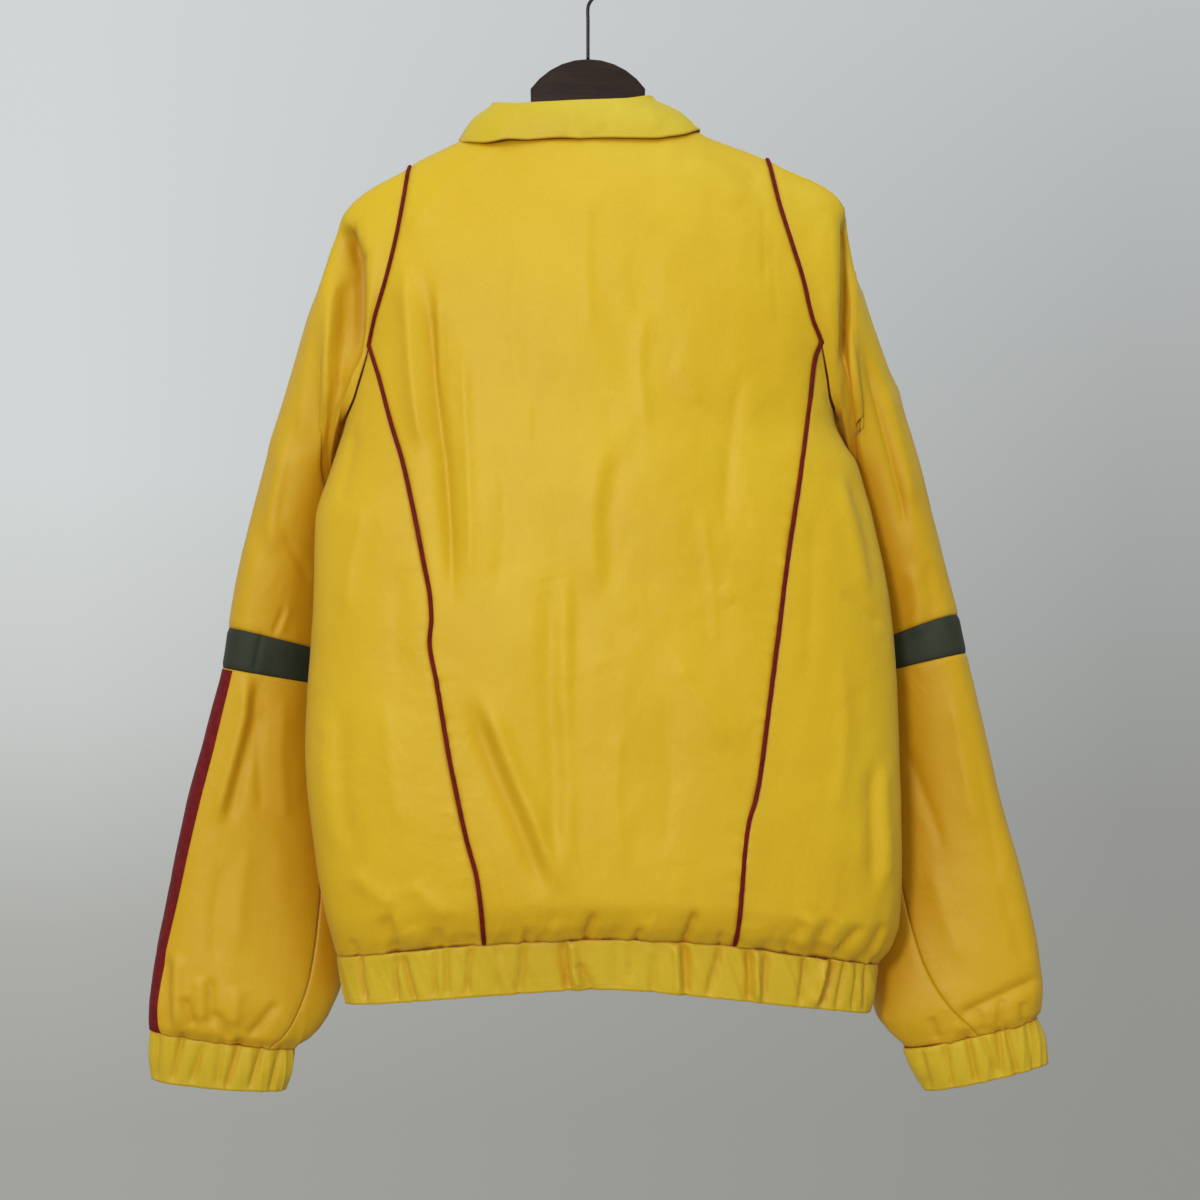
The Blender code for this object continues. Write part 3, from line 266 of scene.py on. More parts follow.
def torso(x, z, side):
    """Points of the torso's cloth at x, z on the back (-1) or the front (+1)."""
    x, z = np.broadcast_arrays(np.asarray(x, float), np.asarray(z, float))
    level = torso_level(x, z, side)
    left, right = TORSO.at("left", level), TORSO.at("right", level)
    mid, half = (left + right) / 2, (right - left) / 2
    off = np.clip(np.abs(x - mid) / half, 0, 1)
    full = (1 - off**SQUARENESS) ** (1 / SQUARENESS)
    t = np.clip((RIDGE.at("z", x) - z) / TAPER, 0, 1)
    rise = np.sqrt(1 - (1 - t) ** 2)
    deep = TORSO.at("back" if side < 0 else "front", level)
    return np.stack([x, side * deep * full * rise, z], axis=-1)


def neck_z(x, side):
    """Level of the neck seam at x."""
    off = np.clip(np.abs(x - NECK_X) / NECK_HALF, 0, 1)
    ends = np.interp(
        x,
        [NECK_X - NECK_HALF, NECK_X + NECK_HALF],
        [RIDGE.at("z", NECK_X - NECK_HALF), RIDGE.at("z", NECK_X + NECK_HALF)],
    )
    if side < 0:
        return ends - NECK_DIP_BACK * (1 - off**2)
    return ends - NECK_DIP_FRONT * (1 - off**2) ** 0.6


def top_z(x, side):
    """Top edge of a panel: the shoulder ridge, or the neck seam between its ends."""
    x = np.asarray(x, float)
    inside = np.abs(x - NECK_X) < NECK_HALF
    return np.where(inside, neck_z(x, side), RIDGE.at("z", x))


def extent_x(z, hand, side):
    """The torso's side line at level z."""
    z = np.asarray(z, float)
    x = np.full_like(z, hand * 225.0)
    for _ in range(6):
        x = TORSO.at("left" if hand < 0 else "right", torso_level(x, z, side))
    return x


def side_x(z, hand, side):
    """Where a panel's outer edge is at level z: the side seam, then the armhole."""
    arm = ARMHOLE[hand].at("front" if side > 0 else "back", z)
    return np.where(np.asarray(z) > UNDERARM_Z[hand], arm, extent_x(z, hand, side))


def piped_x(z, hand):
    """The centre back panel's edge at level z: the side-back seam, then the armhole."""
    arm = ARMHOLE[hand].at("back", z)
    return np.where(np.asarray(z) > JOIN_Z[hand], arm, PRINCESS[hand].at("x", z))


# Shares of an armhole's length that carry a row of points, the shoulder to the underarm;
# the piped side-back seam meets the armhole at the JOIN_AT share.
JOIN_AT = 0.75
CAP_ROWS = [0, 0.02, 0.08, 0.18, 0.32, 0.46, 0.6, 0.75]
PIT_ROWS = [0.75, 0.8, 0.85, 0.9, 0.95, 1.0]
LOW_ROWS = 9              # rows between the hem seam and the armhole


def armhole_z(hand, w):
    """Level of an armhole at the share w of its length."""
    top, low = SHOULDER_Z[hand], UNDERARM_Z[hand]
    power = math.log((top - JOIN_Z[hand]) / (top - low)) / math.log(JOIN_AT)
    return top + (low - top) * np.asarray(w, float) ** power


def armhole(hand, side, w):
    """Points of the armhole seam, from the ridge (w 0) to the underarm (w 1)."""
    z = armhole_z(hand, w)
    x = ARMHOLE[hand].at("back" if side < 0 else "front", z)
    return torso(x, z, side)


def panel(left, right, share, top, side, xl, xr):
    """A four-sided torso panel. left and right are rows of (x, z) up its two edges, which
    xl and xr give by level; share spaces its columns along the hem, top is its upper
    edge's columns of (x, z). Returns points [row, column]."""
    left, right, top = (np.asarray(q, float) for q in (left, right, top))
    share = np.asarray(share, float)
    wide = xr(top[:, 1]) - xl(top[:, 1])
    st = np.clip((top[:, 0] - xl(top[:, 1])) / wide, 0, 1)
    vl = (left[:, 1] - left[0, 1]) / (left[-1, 1] - left[0, 1])
    vr = (right[:, 1] - right[0, 1]) / (right[-1, 1] - right[0, 1])
    x0 = left[0, 0] + (right[0, 0] - left[0, 0]) * share
    z0 = hem_z(x0, "seam", side)
    z0 = z0 + (left[0, 1] - z0[0]) * (1 - share) + (right[0, 1] - z0[-1]) * share
    v = vl[:, None] * (1 - share) + vr[:, None] * share
    z = z0 + (top[:, 1] - z0) * v
    s = share + (st - share) * v
    x = xl(z) + (xr(z) - xl(z)) * s
    x[-1] = top[:, 0]
    return torso(x, z, side)


def from_side(u):
    """Spacing that is finest at the side seam, where the cloth turns most."""
    return 1 - np.cos(np.asarray(u) * math.pi / 2)


def seam_rows(hand, line, side, count):
    """(x, z) rows of the side seam ("side") or the side-back seam ("piped"), hem first."""
    if line == "side":
        x0 = float(TORSO.at("left" if hand < 0 else "right", SEAM_LEVEL))
        z = np.linspace(float(hem_z(x0, "seam", -1)), UNDERARM_Z[hand] - 1e-6, count)
        return np.stack([side_x(z, hand, side), z], axis=-1)
    z0 = float(hem_z(float(PRINCESS[hand].at("x", -832.0)), "seam", -1))
    z = np.linspace(z0, JOIN_Z[hand], count)
    return np.stack([PRINCESS[hand].at("x", z), z], axis=-1)


def armhole_rows(hand, side, shares):
    p = armhole(hand, side, np.asarray(shares, float))
    return p[:, [0, 2]]


def top_columns(x, side):
    x = np.asarray(x, float)
    return np.stack([x, top_z(x, side)], axis=-1)


def back_centre(low=LOW_ROWS, cap=None, shoulder=3, neck=7):
    cap = CAP_ROWS if cap is None else cap
    edges = [
        np.concatenate(
            [seam_rows(h, "piped", -1, low), armhole_rows(h, -1, cap[::-1])[1:]]
        )
        for h in (-1, 1)
    ]
    a, b = NECK_X - NECK_HALF, NECK_X + NECK_HALF
    x = np.concatenate(
        [
            np.linspace(SHOULDER_X[-1], a, shoulder + 1)[:-1],
            np.linspace(a, b, neck + 1)[:-1],
            np.linspace(b, SHOULDER_X[1], shoulder + 1),
        ]
    )
    share = np.linspace(0, 1, len(x))
    return panel(
        edges[0],
        edges[1],
        share,
        top_columns(x, -1),
        -1,
        lambda z: piped_x(z, -1),
        lambda z: piped_x(z, 1),
    )


def side_back(hand, low=LOW_ROWS, pit=None):
    """Columns run from the side seam to the piped seam."""
    pit = PIT_ROWS if pit is None else pit
    top = armhole_rows(hand, -1, pit[::-1])
    share = from_side(np.linspace(0, 1, len(pit)))
    return panel(
        seam_rows(hand, "side", -1, low),
        seam_rows(hand, "piped", -1, low),
        share,
        top,
        -1,
        lambda z: extent_x(z, hand, -1),
        lambda z: PRINCESS[hand].at("x", z),
    )


def front(hand, low=LOW_ROWS, rows=None, shoulder=3, neck=6):
    """Columns run from the side seam and armhole to the zip."""
    rows = CAP_ROWS + PIT_ROWS[1:] if rows is None else rows
    edge = np.concatenate(
        [seam_rows(hand, "side", 1, low), armhole_rows(hand, 1, rows[::-1])[1:]]
    )
    zip_x = lambda z: ZIP.at("x", z) + hand * (ZIP_HALF + 0.15)
    lo = float(hem_z(zip_x(-860.0), "seam", 1))
    hi = float(neck_z(zip_x(-226.0), 1))
    z = lo + (hi - lo) * (edge[:, 1] - edge[0, 1]) / (edge[-1, 1] - edge[0, 1])
    inner = np.stack([zip_x(z), z], axis=-1)
    n = NECK_X + hand * NECK_HALF
    x = np.concatenate(
        [
            np.linspace(SHOULDER_X[hand], n, shoulder + 1)[:-1],
            n + (inner[-1, 0] - n) * from_side(np.linspace(0, 1, neck + 1)),
        ]
    )
    share = from_side(np.linspace(0, 1, len(x)))
    return panel(
        edge, inner, share, top_columns(x, 1), 1, lambda z: side_x(z, hand, 1), zip_x
    )


def hem_band(turn, v):
    """The band from the zip's left side round the back (turn 0 to 1) to its right side.
    v 0 is the seam, 1 the lower edge."""
    edge_l, edge_r = -210.0, 243.0
    mid, half = (edge_l + edge_r) / 2, (edge_r - edge_l) / 2
    zx = float(ZIP.at("x", -870.0))
    a0 = math.acos(np.clip((mid - (zx - ZIP_HALF - 0.15)) / half, -1, 1))
    a1 = math.acos(np.clip((mid - (zx + ZIP_HALF + 0.15)) / half, -1, 1))
    # angle 0 at the left side; negative through the front, positive through the back
    ang = -a0 + np.asarray(turn) * (2 * math.pi - a1 + a0)
    cos = np.cos(ang)
    side = np.where((ang > 0) & (ang < math.pi), -1, 1)
    out = np.zeros((len(v), len(ang), 3))
    for k, (c, s) in enumerate(zip(cos, side)):
        spread = np.sign(c) * abs(c) ** (2 / SQUARENESS)
        x0 = mid - half * spread
        z = hem_z(x0, "seam", s) + (hem_z(x0, "edge", s) - hem_z(x0, "seam", s)) * v
        level = torso_level(np.full(len(v), x0), z, s)
        l, r = TORSO.at("left", level), TORSO.at("right", level)
        x = (l + r) / 2 - (r - l) / 2 * spread
        y = s * TORSO.at("back" if s < 0 else "front", level) * abs(np.sin(ang[k])) ** (2 / SQUARENESS)
        out[:, k] = np.stack([x, y, z], axis=-1)
    return out


# ------------------------------------------------------------------ sleeves
# Each ring runs from its outer point (ox, oy, oz) round the back to its inner point
# (ix, iy, iz) and home round the front; d is half its thickness.
RINGS = {
    -1: Table(
        "v ox oy oz ix iy iz d",
        [
            (2, -224, 5, -281, -216, 10, -422, 20),
            (3, -240, 9, -330, -220, 26, -438, 24),
            (4, -255, 12, -381, -221, 43, -457, 27),
            (5, -274, 15, -449, -219, 62, -488, 28),
            (6, -291, 17, -516, -213, 78, -540, 28),
            (7, -303, 18, -574, -212, 88, -601, 28),
            (8, -309, 18, -608, -211, 87, -628, 28),
            (9, -324, 18, -669, -209, 82, -684, 28),
            (10, -341, 18, -736, -208, 74, -752, 29),
            (11, -355, 18, -804, -207, 62, -822, 30),
            (12, -366, 18, -855, -211, 50, -872, 31),
            (13, -370, 18, -889, -224, 40, -906, 31),
            (13.6, -370.5, 18, -905, -237, 34, -923, 27),
            (14, -370, 18, -914, -250, 30, -933, 21),
            (14.5, -371.5, 19, -936, -252.5, 30, -950, 21),
            (15, -370, 20, -956, -259, 31, -968, 21),
        ],
    ),
    1: Table(
        "v ox oy oz ix iy iz d",
        [
            (2, 226, 5, -279, 221, 10, -419, 20),
            (3, 243, 9, -330, 228, 26, -436, 24),
            (4, 259, 12, -381, 231, 44, -456, 27),
            (5, 280, 15, -449, 233, 64, -488, 28),
            (6, 298, 17, -516, 234, 80, -540, 28),
            (7, 309, 18, -563, 238, 90, -598, 28),
            (8, 316.5, 18, -596, 239, 90, -620, 28),
            (9, 336, 18, -669, 241, 85, -686, 28),
            (10, 354, 18, -736, 241, 77, -753, 28),
            (11, 372, 18, -804, 242, 67, -822, 29),
            (12, 382, 18, -855, 243, 54, -870, 31),
            (13, 385, 18, -882, 248, 43, -903, 31),
            (13.6, 384, 18, -896, 258, 36, -919, 27),
            (14, 380, 18, -905, 270, 30, -932, 21),
            (14.5, 387, 19, -924, 278, 30, -950, 21),
            (15, 389, 20, -943, 289, 31, -967, 21),
        ],
    ),
}
# Ring 1: the cloth's edge where it breaks over the hanger's end and drops.
# w runs from the hanger's end (0) to the underarm (1).
BREAK_BACK = {
    -1: Table(
        "w x y z",
        [
            (0, -204, 0, -226),
            (0.02, -202.5, -6, -228),
            (0.08, -197.5, -12, -237),
            (0.18, -189, -17, -254),
            (0.32, -185, -22, -280),
            (0.52, -185, -25, -315),
            (0.72, -188, -22, -348),
            (0.8, -194.5, -21.5, -361),
            (0.85, -198.5, -20.5, -372),
            (0.9, -202.5, -17.5, -382),
            (0.95, -207, -9, -394),
            (1, -209.5, 4, -405),
        ],
    ),
    1: Table(
        "w x y z",
        [
            (0, 214, 0, -220),
            (0.02, 213.5, -6, -222),
            (0.08, 212, -11, -231),
            (0.18, 210.5, -15, -248),
            (0.32, 209.5, -20, -275),
            (0.52, 209, -24, -312),
            (0.72, 208.5, -21, -345),
            (0.8, 208, -22, -359),
            (0.85, 208.5, -21, -370),
            (0.9, 209.5, -18, -381),
            (0.95, 212, -9, -393),
            (1, 214.5, 5, -403),
        ],
    ),
}
BREAK_FRONT = {
    -1: Table(
        "w x y z",
        [
            (0, -204, 0, -226),
            (0.02, -204.5, 7, -229),
            (0.08, -206, 12, -238),
            (0.25, -208, 18, -268),
            (0.5, -208, 23, -310),
            (0.75, -208, 21, -354),
            (0.9, -208, 14, -384),
            (1, -209.5, 4, -405),
        ],
    ),
    1: Table(
        "w x y z",
        [
            (0, 214, 0, -220),
            (0.02, 214.5, 7, -223),
            (0.08, 216, 12, -232),
            (0.25, 218, 18, -262),
            (0.5, 217, 23, -306),
            (0.75, 215, 21, -350),
            (0.9, 213.5, 14, -381),
            (1, 214.5, 5, -403),
        ],
    ),
}
RETURN_V, RETURN_IN, RETURN_DEEP = 1.25, 4.0, 24.0   # the hidden return behind the break
SLEEVE_V = {"upper": (0, 7), "band": (7, 8), "lower": (8, 14), "cuff": (14, 15)}
UNDER_SEAM = {
    -1: Table("v back front", [(8, 0.345, 0.64), (11, 0.35, 0.645), (14, 0.36, 0.65)]),
    1: Table("v back front", [(8, 0.34, 0.62), (11, 0.31, 0.6), (14, 0.235, 0.55)]),
}


PIT_BULGE = {-1: 4.5, 1: 2.0}     # how far the cloth under the arm bows off the torso
PIT_ROUND = {-1: 54.0, 1: 28.0}   # and how much more towards the shoulder
PIT_STEP = 1.7            # at the underarm the sleeve starts this far outside the torso


def pit_blend(w):
    """0 down most of an armhole, rising to 1 at the underarm."""
    t = np.clip((np.asarray(w, float) - 0.68) / 0.24, 0, 1)
    return t * t * (3 - 2 * t)


def ring_points(hand, u):
    """All of a sleeve's rings at the turns u: levels v, and points [ring, u]."""
    u = np.mod(np.asarray(u, float), 1.0)
    back = u <= 0.5
    w = np.where(back, 2 * u, 2 - 2 * u)
    first = np.where(back[:, None], armhole(hand, -1, w), armhole(hand, 1, w))
    out = np.where(
        back[:, None],
        torso_normal(first[:, 0], first[:, 2], -1),
        torso_normal(first[:, 0], first[:, 2], 1),
    )
    first = first + out * PIT_STEP * pit_blend(w)[:, None]
    edge = np.where(
        back[:, None], BREAK_BACK[hand].points(w), BREAK_FRONT[hand].points(w)
    )
    rest = []
    t = RINGS[hand]
    ang = 2 * math.pi * u
    for k in range(len(t.key)):
        row = {n: t.col[n][k] for n in t.names}
        o = np.array([row["ox"], row["oy"], row["oz"]])
        i = np.array([row["ix"], row["iy"], row["iz"]])
        e1 = (o - i) / 2
        down = np.array([hand * 0.12, 0.0, -1.0])
        e2 = np.cross(down, e1)
        e2 *= row["d"] / np.linalg.norm(e2)
        if e2[1] > 0:
            e2 = -e2
        c, s = np.cos(ang), np.sin(ang)
        c, s = np.sign(c) * abs(c) ** 0.96, np.sign(s) * abs(s) ** 0.85
        rest.append((o + i) / 2 + c[:, None] * e1 + s[:, None] * e2)
    # under the arm the cloth runs nearly straight from the fold to the fifth ring
    m = np.clip((w - 0.4) / 0.35, 0, 1)
    m = (m * m * (3 - 2 * m))[:, None]
    for k, far in ((0, 0.25), (1, 0.5), (2, 0.75)):
        straight = edge + (rest[3] - edge) * far
        straight[:, 0] += hand * (PIT_BULGE[hand] + PIT_ROUND[hand] * (1 - w)) * 4 * far * (1 - far)
        rest[k] = rest[k] * (1 - m) + straight * m
    inward = np.array([-hand * RETURN_IN, RETURN_DEEP, 0.0])
    fade = np.clip((w - 0.42) / 0.36, 0, 1)
    depth = np.minimum(1, w / 0.3) ** 0.8 * (1 - fade * fade * (3 - 2 * fade))
    tucked = np.where(
        back[:, None],
        edge + inward * depth[:, None] + (rest[0] - edge) * (1 - depth)[:, None] * 0.35,
        edge + (rest[0] - edge) * 0.35,
    )
    v = np.concatenate([[0, 1, RETURN_V], t.key])
    return v, np.stack([first, edge, tucked, *rest])


def sleeve(hand, u, v):
    """Points [v, u] of a sleeve."""
    levels, rings = ring_points(hand, u)
    v = np.asarray(v, float)
    flat = rings.reshape(len(levels), -1)
    return monotone(levels, flat, v).reshape(len(v), -1, 3)


def sleeve_strip(hand, v, across):
    """Points [v, across] of a sleeve at distances in mm round the back from u 0."""
    u = np.linspace(-0.1, 0.2, 121)
    rows = sleeve(hand, u, v)
    step = np.linalg.norm(np.diff(rows, axis=1), axis=2)
    run = np.concatenate([np.zeros((len(v), 1)), np.cumsum(step, axis=1)], axis=1)
    run -= run[:, 40:41]
    out = np.zeros((len(v), len(across), 3))
    for i in range(len(v)):
        for k in range(3):
            out[i, :, k] = np.interp(across, run[i], rows[i, :, k])
    return out


# ------------------------------------------------------------------- collar
# by the angle round the neck: 0 at the middle of the back, 90 over the shoulder
COLLAR_GAP = 172.0
COLLAR = Table(
    "turn fx fy fz ex drop",
    [
        (0, 0, -27, -137, 0, 31),
        (40, 43, -21, -136, 66, 24),
        (90, 67, 2, -130, 101, 0),
        (125, 54, 30, -152, 92, 34),
        (150, 33, 46, -180, 70, 78),
        (172, 11, 53, -206, 44, 112),
    ],
)
COLLAR_MID_FOLD, COLLAR_MID_EDGE = -13.0, -7.0
COLLAR_TILT = 3.0         # the wearer's right side of the fold stands this much higher
COLLAR_CLEAR = 2.9        # between the turned-down edge and the cloth that it lies on
FOLD_HALF = 1.7           # half the gap between stand and fall at the fold


def normals_of(p, cyclic=False):
    """Unit normals of a grid of points [v, u]."""
    du = np.gradient(p, axis=1)
    if cyclic:
        du = (np.roll(p, -1, axis=1) - np.roll(p, 1, axis=1)) / 2
    dv = np.gradient(p, axis=0)
    n = np.cross(du, dv)
    return n / np.maximum(np.linalg.norm(n, axis=2, keepdims=True), 1e-9)


def torso_normal(x, z, side):
    """Outward unit normal of the torso."""
    x, z = np.broadcast_arrays(np.asarray(x, float), np.asarray(z, float))
    power = 2 / SQUARENESS

    def section(turn, rise_by):
        zz = z + rise_by
        level = torso_level(x, zz, side)
        left, right = TORSO.at("left", level), TORSO.at("right", level)
        mid, half = (left + right) / 2, (right - left) / 2
        c, s = np.cos(turn), np.sin(turn)
        xx = mid - half * np.sign(c) * np.abs(c) ** power
        t = np.clip((RIDGE.at("z", xx) - zz) / TAPER, 0, 1)
        rise = np.sqrt(1 - (1 - t) ** 2)
        deep = np.where(s > 0, -TORSO.at("back", level), TORSO.at("front", level))
        return np.stack([xx, deep * np.abs(s) ** power * rise, zz], axis=-1), mid

    level = torso_level(x, z, side)
    left, right = TORSO.at("left", level), TORSO.at("right", level)
    off = np.clip((x - (left + right) / 2) / ((right - left) / 2), -1, 1)
    turn = np.arccos(-np.sign(off) * np.abs(off) ** (SQUARENESS / 2))
    turn = turn if side < 0 else -turn
    e, h = 0.03, 0.6
    here, mid = section(turn, 0.0)
    du = section(turn + e, 0.0)[0] - section(turn - e, 0.0)[0]
    dz = section(turn, h)[0] - section(turn, -h)[0]
    n = np.cross(du, dz)
    out = here - np.stack([mid, 0 * mid, z - 20.0], axis=-1)
    n = np.where((np.sum(n * out, axis=-1) < 0)[..., None], -n, n)
    n = n / np.maximum(np.linalg.norm(n, axis=-1, keepdims=True), 1e-9)
    slope = (RIDGE.at("z", x + 1) - RIDGE.at("z", x - 1)) / 2
    top = np.stack([-slope, 0 * slope, 1 + 0 * slope], axis=-1)
    top = top / np.linalg.norm(top, axis=-1, keepdims=True)
    near = np.clip(1 - (RIDGE.at("z", x) - z) / 0.5, 0, 1)[..., None]
    n = n * (1 - near) + top * near
    return n / np.maximum(np.linalg.norm(n, axis=-1, keepdims=True), 1e-9)


def collar_sections(turn):
    """The stand's foot, the fold and the fall's edge at angles turn (degrees)."""
    turn = np.asarray(turn, float)
    hand, a = np.sign(turn), np.abs(turn)
    bx = NECK_X + NECK_HALF * np.sin(np.radians(turn))
    side = np.where(a <= 90, -1, 1)
    foot = np.zeros((len(turn), 3))
    edge = np.zeros((len(turn), 3))
    ex = COLLAR_MID_EDGE + hand * COLLAR.at("ex", a)
    drop = COLLAR.at("drop", a)
    for k in range(len(turn)):
        s = int(side[k])
        foot[k] = torso(bx[k], neck_z(bx[k], s), s)
        z = float(RIDGE.at("z", ex[k])) - drop[k]
        p = torso(ex[k], z, s)
        flat = min(drop[k] / 12, 1)
        n = torso_normal(ex[k], z - 0.5, s) if drop[k] > 2 else np.array([0, 0, 1.0])
        n = n * flat + np.array([0, 0, 1.0]) * (1 - flat)
        edge[k] = p + n / np.linalg.norm(n) * COLLAR_CLEAR
    fold = np.stack(
        [
            COLLAR_MID_FOLD + hand * COLLAR.at("fx", a),
            COLLAR.at("fy", a),
            COLLAR.at("fz", a) + hand * COLLAR_TILT * np.sin(np.radians(np.minimum(a, 90))) ,
        ],
        axis=-1,
    )
    return foot, fold, edge


def collar(turn, t):
    """Points [t, turn]: t 0 at the foot of the stand, 1 at the fold, 2 at the fall's edge."""
    foot, fold, edge = collar_sections(turn)
    out = edge - foot
    out[:, 2] = 0
    mid = np.array([COLLAR_MID_FOLD, 8.0, 0.0])
    ray = fold - mid
    ray[:, 2] = 0
    ray /= np.maximum(np.linalg.norm(ray, axis=1, keepdims=True), 1e-9)
    up = np.array([0, 0, 1.0])
    gap = FOLD_HALF
    run = np.gradient(foot, axis=0)
    side = np.where(np.abs(turn) <= 90, -1, 1)
    away = np.zeros_like(foot)
    for s in (-1, 1):
        n = torso_normal(foot[:, 0], foot[:, 2], s)
        away = np.where((side == s)[:, None], np.cross(n, run), away)
    hole = np.array([NECK_X, 0, -140.0]) - foot
    away *= np.sign(np.sum(away * hole, axis=1, keepdims=True))
    away /= np.maximum(np.linalg.norm(away, axis=1, keepdims=True), 1e-9)
    knots = np.stack(
        [
            foot + away * 1.5 + up * 0.2,
            foot * 0.45 + fold * 0.55 - ray * (gap + 0.6),
            fold - ray * gap - up * 2.2,
            fold,
            fold + ray * gap - up * 2.2,
            fold * 0.5 + edge * 0.5 + ray * 1.6 + up * 1.5,
            edge,
        ]
    )
    at = np.array([0, 0.55, 0.93, 1.0, 1.07, 1.5, 2.0])
    flat = knots.reshape(len(at), -1)
    t = np.asarray(t, float)
    return monotone(at, flat, t).reshape(len(t), -1, 3)


# ------------------------------------------------------------ hanger and hook
DOME_TOP_Z, DOME_R = -96.6, 59.0
ARM_CLEAR, ARM_DEEP = 5.5, 33.0
HANGER_HALF = 6.6
ARM_END = {-1: -196.0, 1: 205.5}
NECK_SIDE = 48.0          # half the wood's width where the arms start
WIRE_R, HOOK_R = 1.5, 20.5


def hanger_outline():
    """The hanger's outline in its own plane, x and z, from the left tip clockwise."""
    dome_mid = DOME_TOP_Z - DOME_R
    dome = [
        (DOME_R * math.sin(math.radians(a)), dome_mid + DOME_R * math.cos(math.radians(a)))
        for a in range(-55, 56, 11)
    ]
    top, under = {}, {}
    for hand in (-1, 1):
        end = ARM_END[hand]
        line = [(hand * NECK_SIDE, -137.0), (hand * (NECK_SIDE + 2), -150.0)]
        for x in (62, 76, 92, 120, 150, 175):
            side = abs(NECK_X + hand * NECK_HALF)
            drop = ARM_CLEAR + 4.0 * math.exp(-(((x - side) / 18) ** 2))
            line.append((hand * x, float(RIDGE.at("z", hand * x)) - drop))
        zt = float(RIDGE.at("z", end)) - ARM_CLEAR
        line += [
            (end - hand * 7, zt + 4.0),
            (end - hand * 1.5, zt - 1.5),
            (end, zt - 8),
            (end - hand * 4, zt - 15),
        ]
        top[hand] = line
        under[hand] = [
            (hand * x, float(RIDGE.at("z", hand * x)) - ARM_CLEAR - ARM_DEEP * (0.6 + 0.4 * (1 - x / 190)) - 4)
            for x in (168, 140, 110, 80, 50, 22)
        ]
    return (
        list(reversed(top[-1]))
        + dome
        + top[1]
        + under[1]
        + [(0.0, -187.0)]
        + list(reversed(under[-1]))
    )


# ------------------------------------------------------------- photo's frame
VIEW_FAR = 1.8            # camera to the garment's plane, m
PIXEL = 0.84              # mm to one pixel of the 1200 px frame in that plane


def in_frame(p):
    """Where points in mm fall in the 1200 px frame of the camera below."""
    near = 1 + p[..., 1] / 1000 / VIEW_FAR
    px = (p[..., 0] / PIXEL - 12) / near + 600
    py = (-p[..., 2] / PIXEL - 655) / near + 600
    return np.stack([px, py], axis=-1)


# ------------------------------------------------------------- soft randomness
def lattice(seed, shape=(64, 64)):
    return np.random.default_rng(seed).uniform(-1, 1, shape)


def noise2(a, b, seed):
    """Smooth noise in -1..1 over the plane a, b, with features about 1 apart."""
    g = lattice(seed)
    n = g.shape[0]
    ia, ib = np.floor(a).astype(int), np.floor(b).astype(int)
    fa, fb = a - ia, b - ib
    fa, fb = fa**3 * (fa * (fa * 6 - 15) + 10), fb**3 * (fb * (fb * 6 - 15) + 10)
    ia, ib = ia % n, ib % n
    ja, jb = (ia + 1) % n, (ib + 1) % n
    top = g[ia, ib] * (1 - fa) + g[ja, ib] * fa
    low = g[ia, jb] * (1 - fa) + g[ja, jb] * fa
    return top * (1 - fb) + low * fb


def waves(a, b, seed, rounds=3):
    out, gain, total = 0, 1.0, 0
    for k in range(rounds):
        out = out + gain * noise2(a * 2**k + 7.3 * k, b * 2**k + 3.1 * k, seed + k)
        total += gain
        gain *= 0.5
    return out / total


def pleats(a, seed, sharp=1.6):
    """Ridges and pinched troughs along a line, features about 1 apart, -1..1."""
    v = noise2(a, 0 * a + 0.37, seed)
    w = 1 - np.abs(noise2(a * 0.83 + 11, 0 * a + 0.71, seed + 5)) ** (1 / sharp) * 2
    return 0.45 * v + 0.55 * w


# -------------------------------------------------------------------- creases
def soft(x):
    x = np.clip(x, 0, 1)
    return x * x * (3 - 2 * x)


def near_line(q, pts):
    """Signed distance from each q to a polyline, and how far along it that is, 0..1."""
    pts = np.asarray(pts, float)
    seg = np.diff(pts, axis=0)
    ln = np.linalg.norm(seg, axis=1)
    cum = np.concatenate([[0], np.cumsum(ln)])
    best = np.full(len(q), 1e9)
    sign, at = np.zeros(len(q)), np.zeros(len(q))
    for k in range(len(seg)):
        d = q - pts[k]
        t = np.clip(d @ seg[k] / ln[k] ** 2, 0, 1)
        off = d - t[:, None] * seg[k]
        r = np.hypot(off[:, 0], off[:, 1])
        s = np.sign(seg[k][0] * d[:, 1] - seg[k][1] * d[:, 0])
        m = r < best
        best[m], sign[m], at[m] = r[m], s[m], ((cum[k] + t * ln[k]) / cum[-1])[m]
    return best * sign, at


def crease(q, kind, high, wide, pts, grow=0.0):
    """Height in mm at each q of one crease. A ridge or trough is soft and even; a fold
    rises on the right of its line, looking along it, and drops on the left."""
    lo = np.min(pts, axis=0) - 4 * wide
    hi = np.max(pts, axis=0) + 4 * wide
    box_ = np.all((q > lo) & (q < hi), axis=1)
    out = np.zeros(len(q))
    if not box_.any():
        return out
    d, t = near_line(q[box_], pts)
    w = wide * (1 + grow * t)
    ends = soft(t / 0.22) * soft((1 - t) / 0.22)
    if kind == "fold":
        x = d / w
        out[box_] = high * ends * x * np.exp(0.5 - x * x / 2)
    elif kind == "step":
        x = d / w
        out[box_] = high * ends * np.tanh(x * 1.6) * np.exp(-np.abs(x) / 2.2)
    elif kind == "open":
        x = d / w
        out[box_] = high * soft(t / 0.3) * np.exp(-x * x)
    else:
        out[box_] = high * ends * np.exp(-(np.abs(d / w) ** 1.5))
    return out


def creases(p, table):
    q = in_frame(p).reshape(-1, 2)
    out = np.zeros(len(q))
    for kind, high, wide, *pts in table:
        out += crease(q, kind, high, wide, pts)
    return out.reshape(p.shape[:-1])


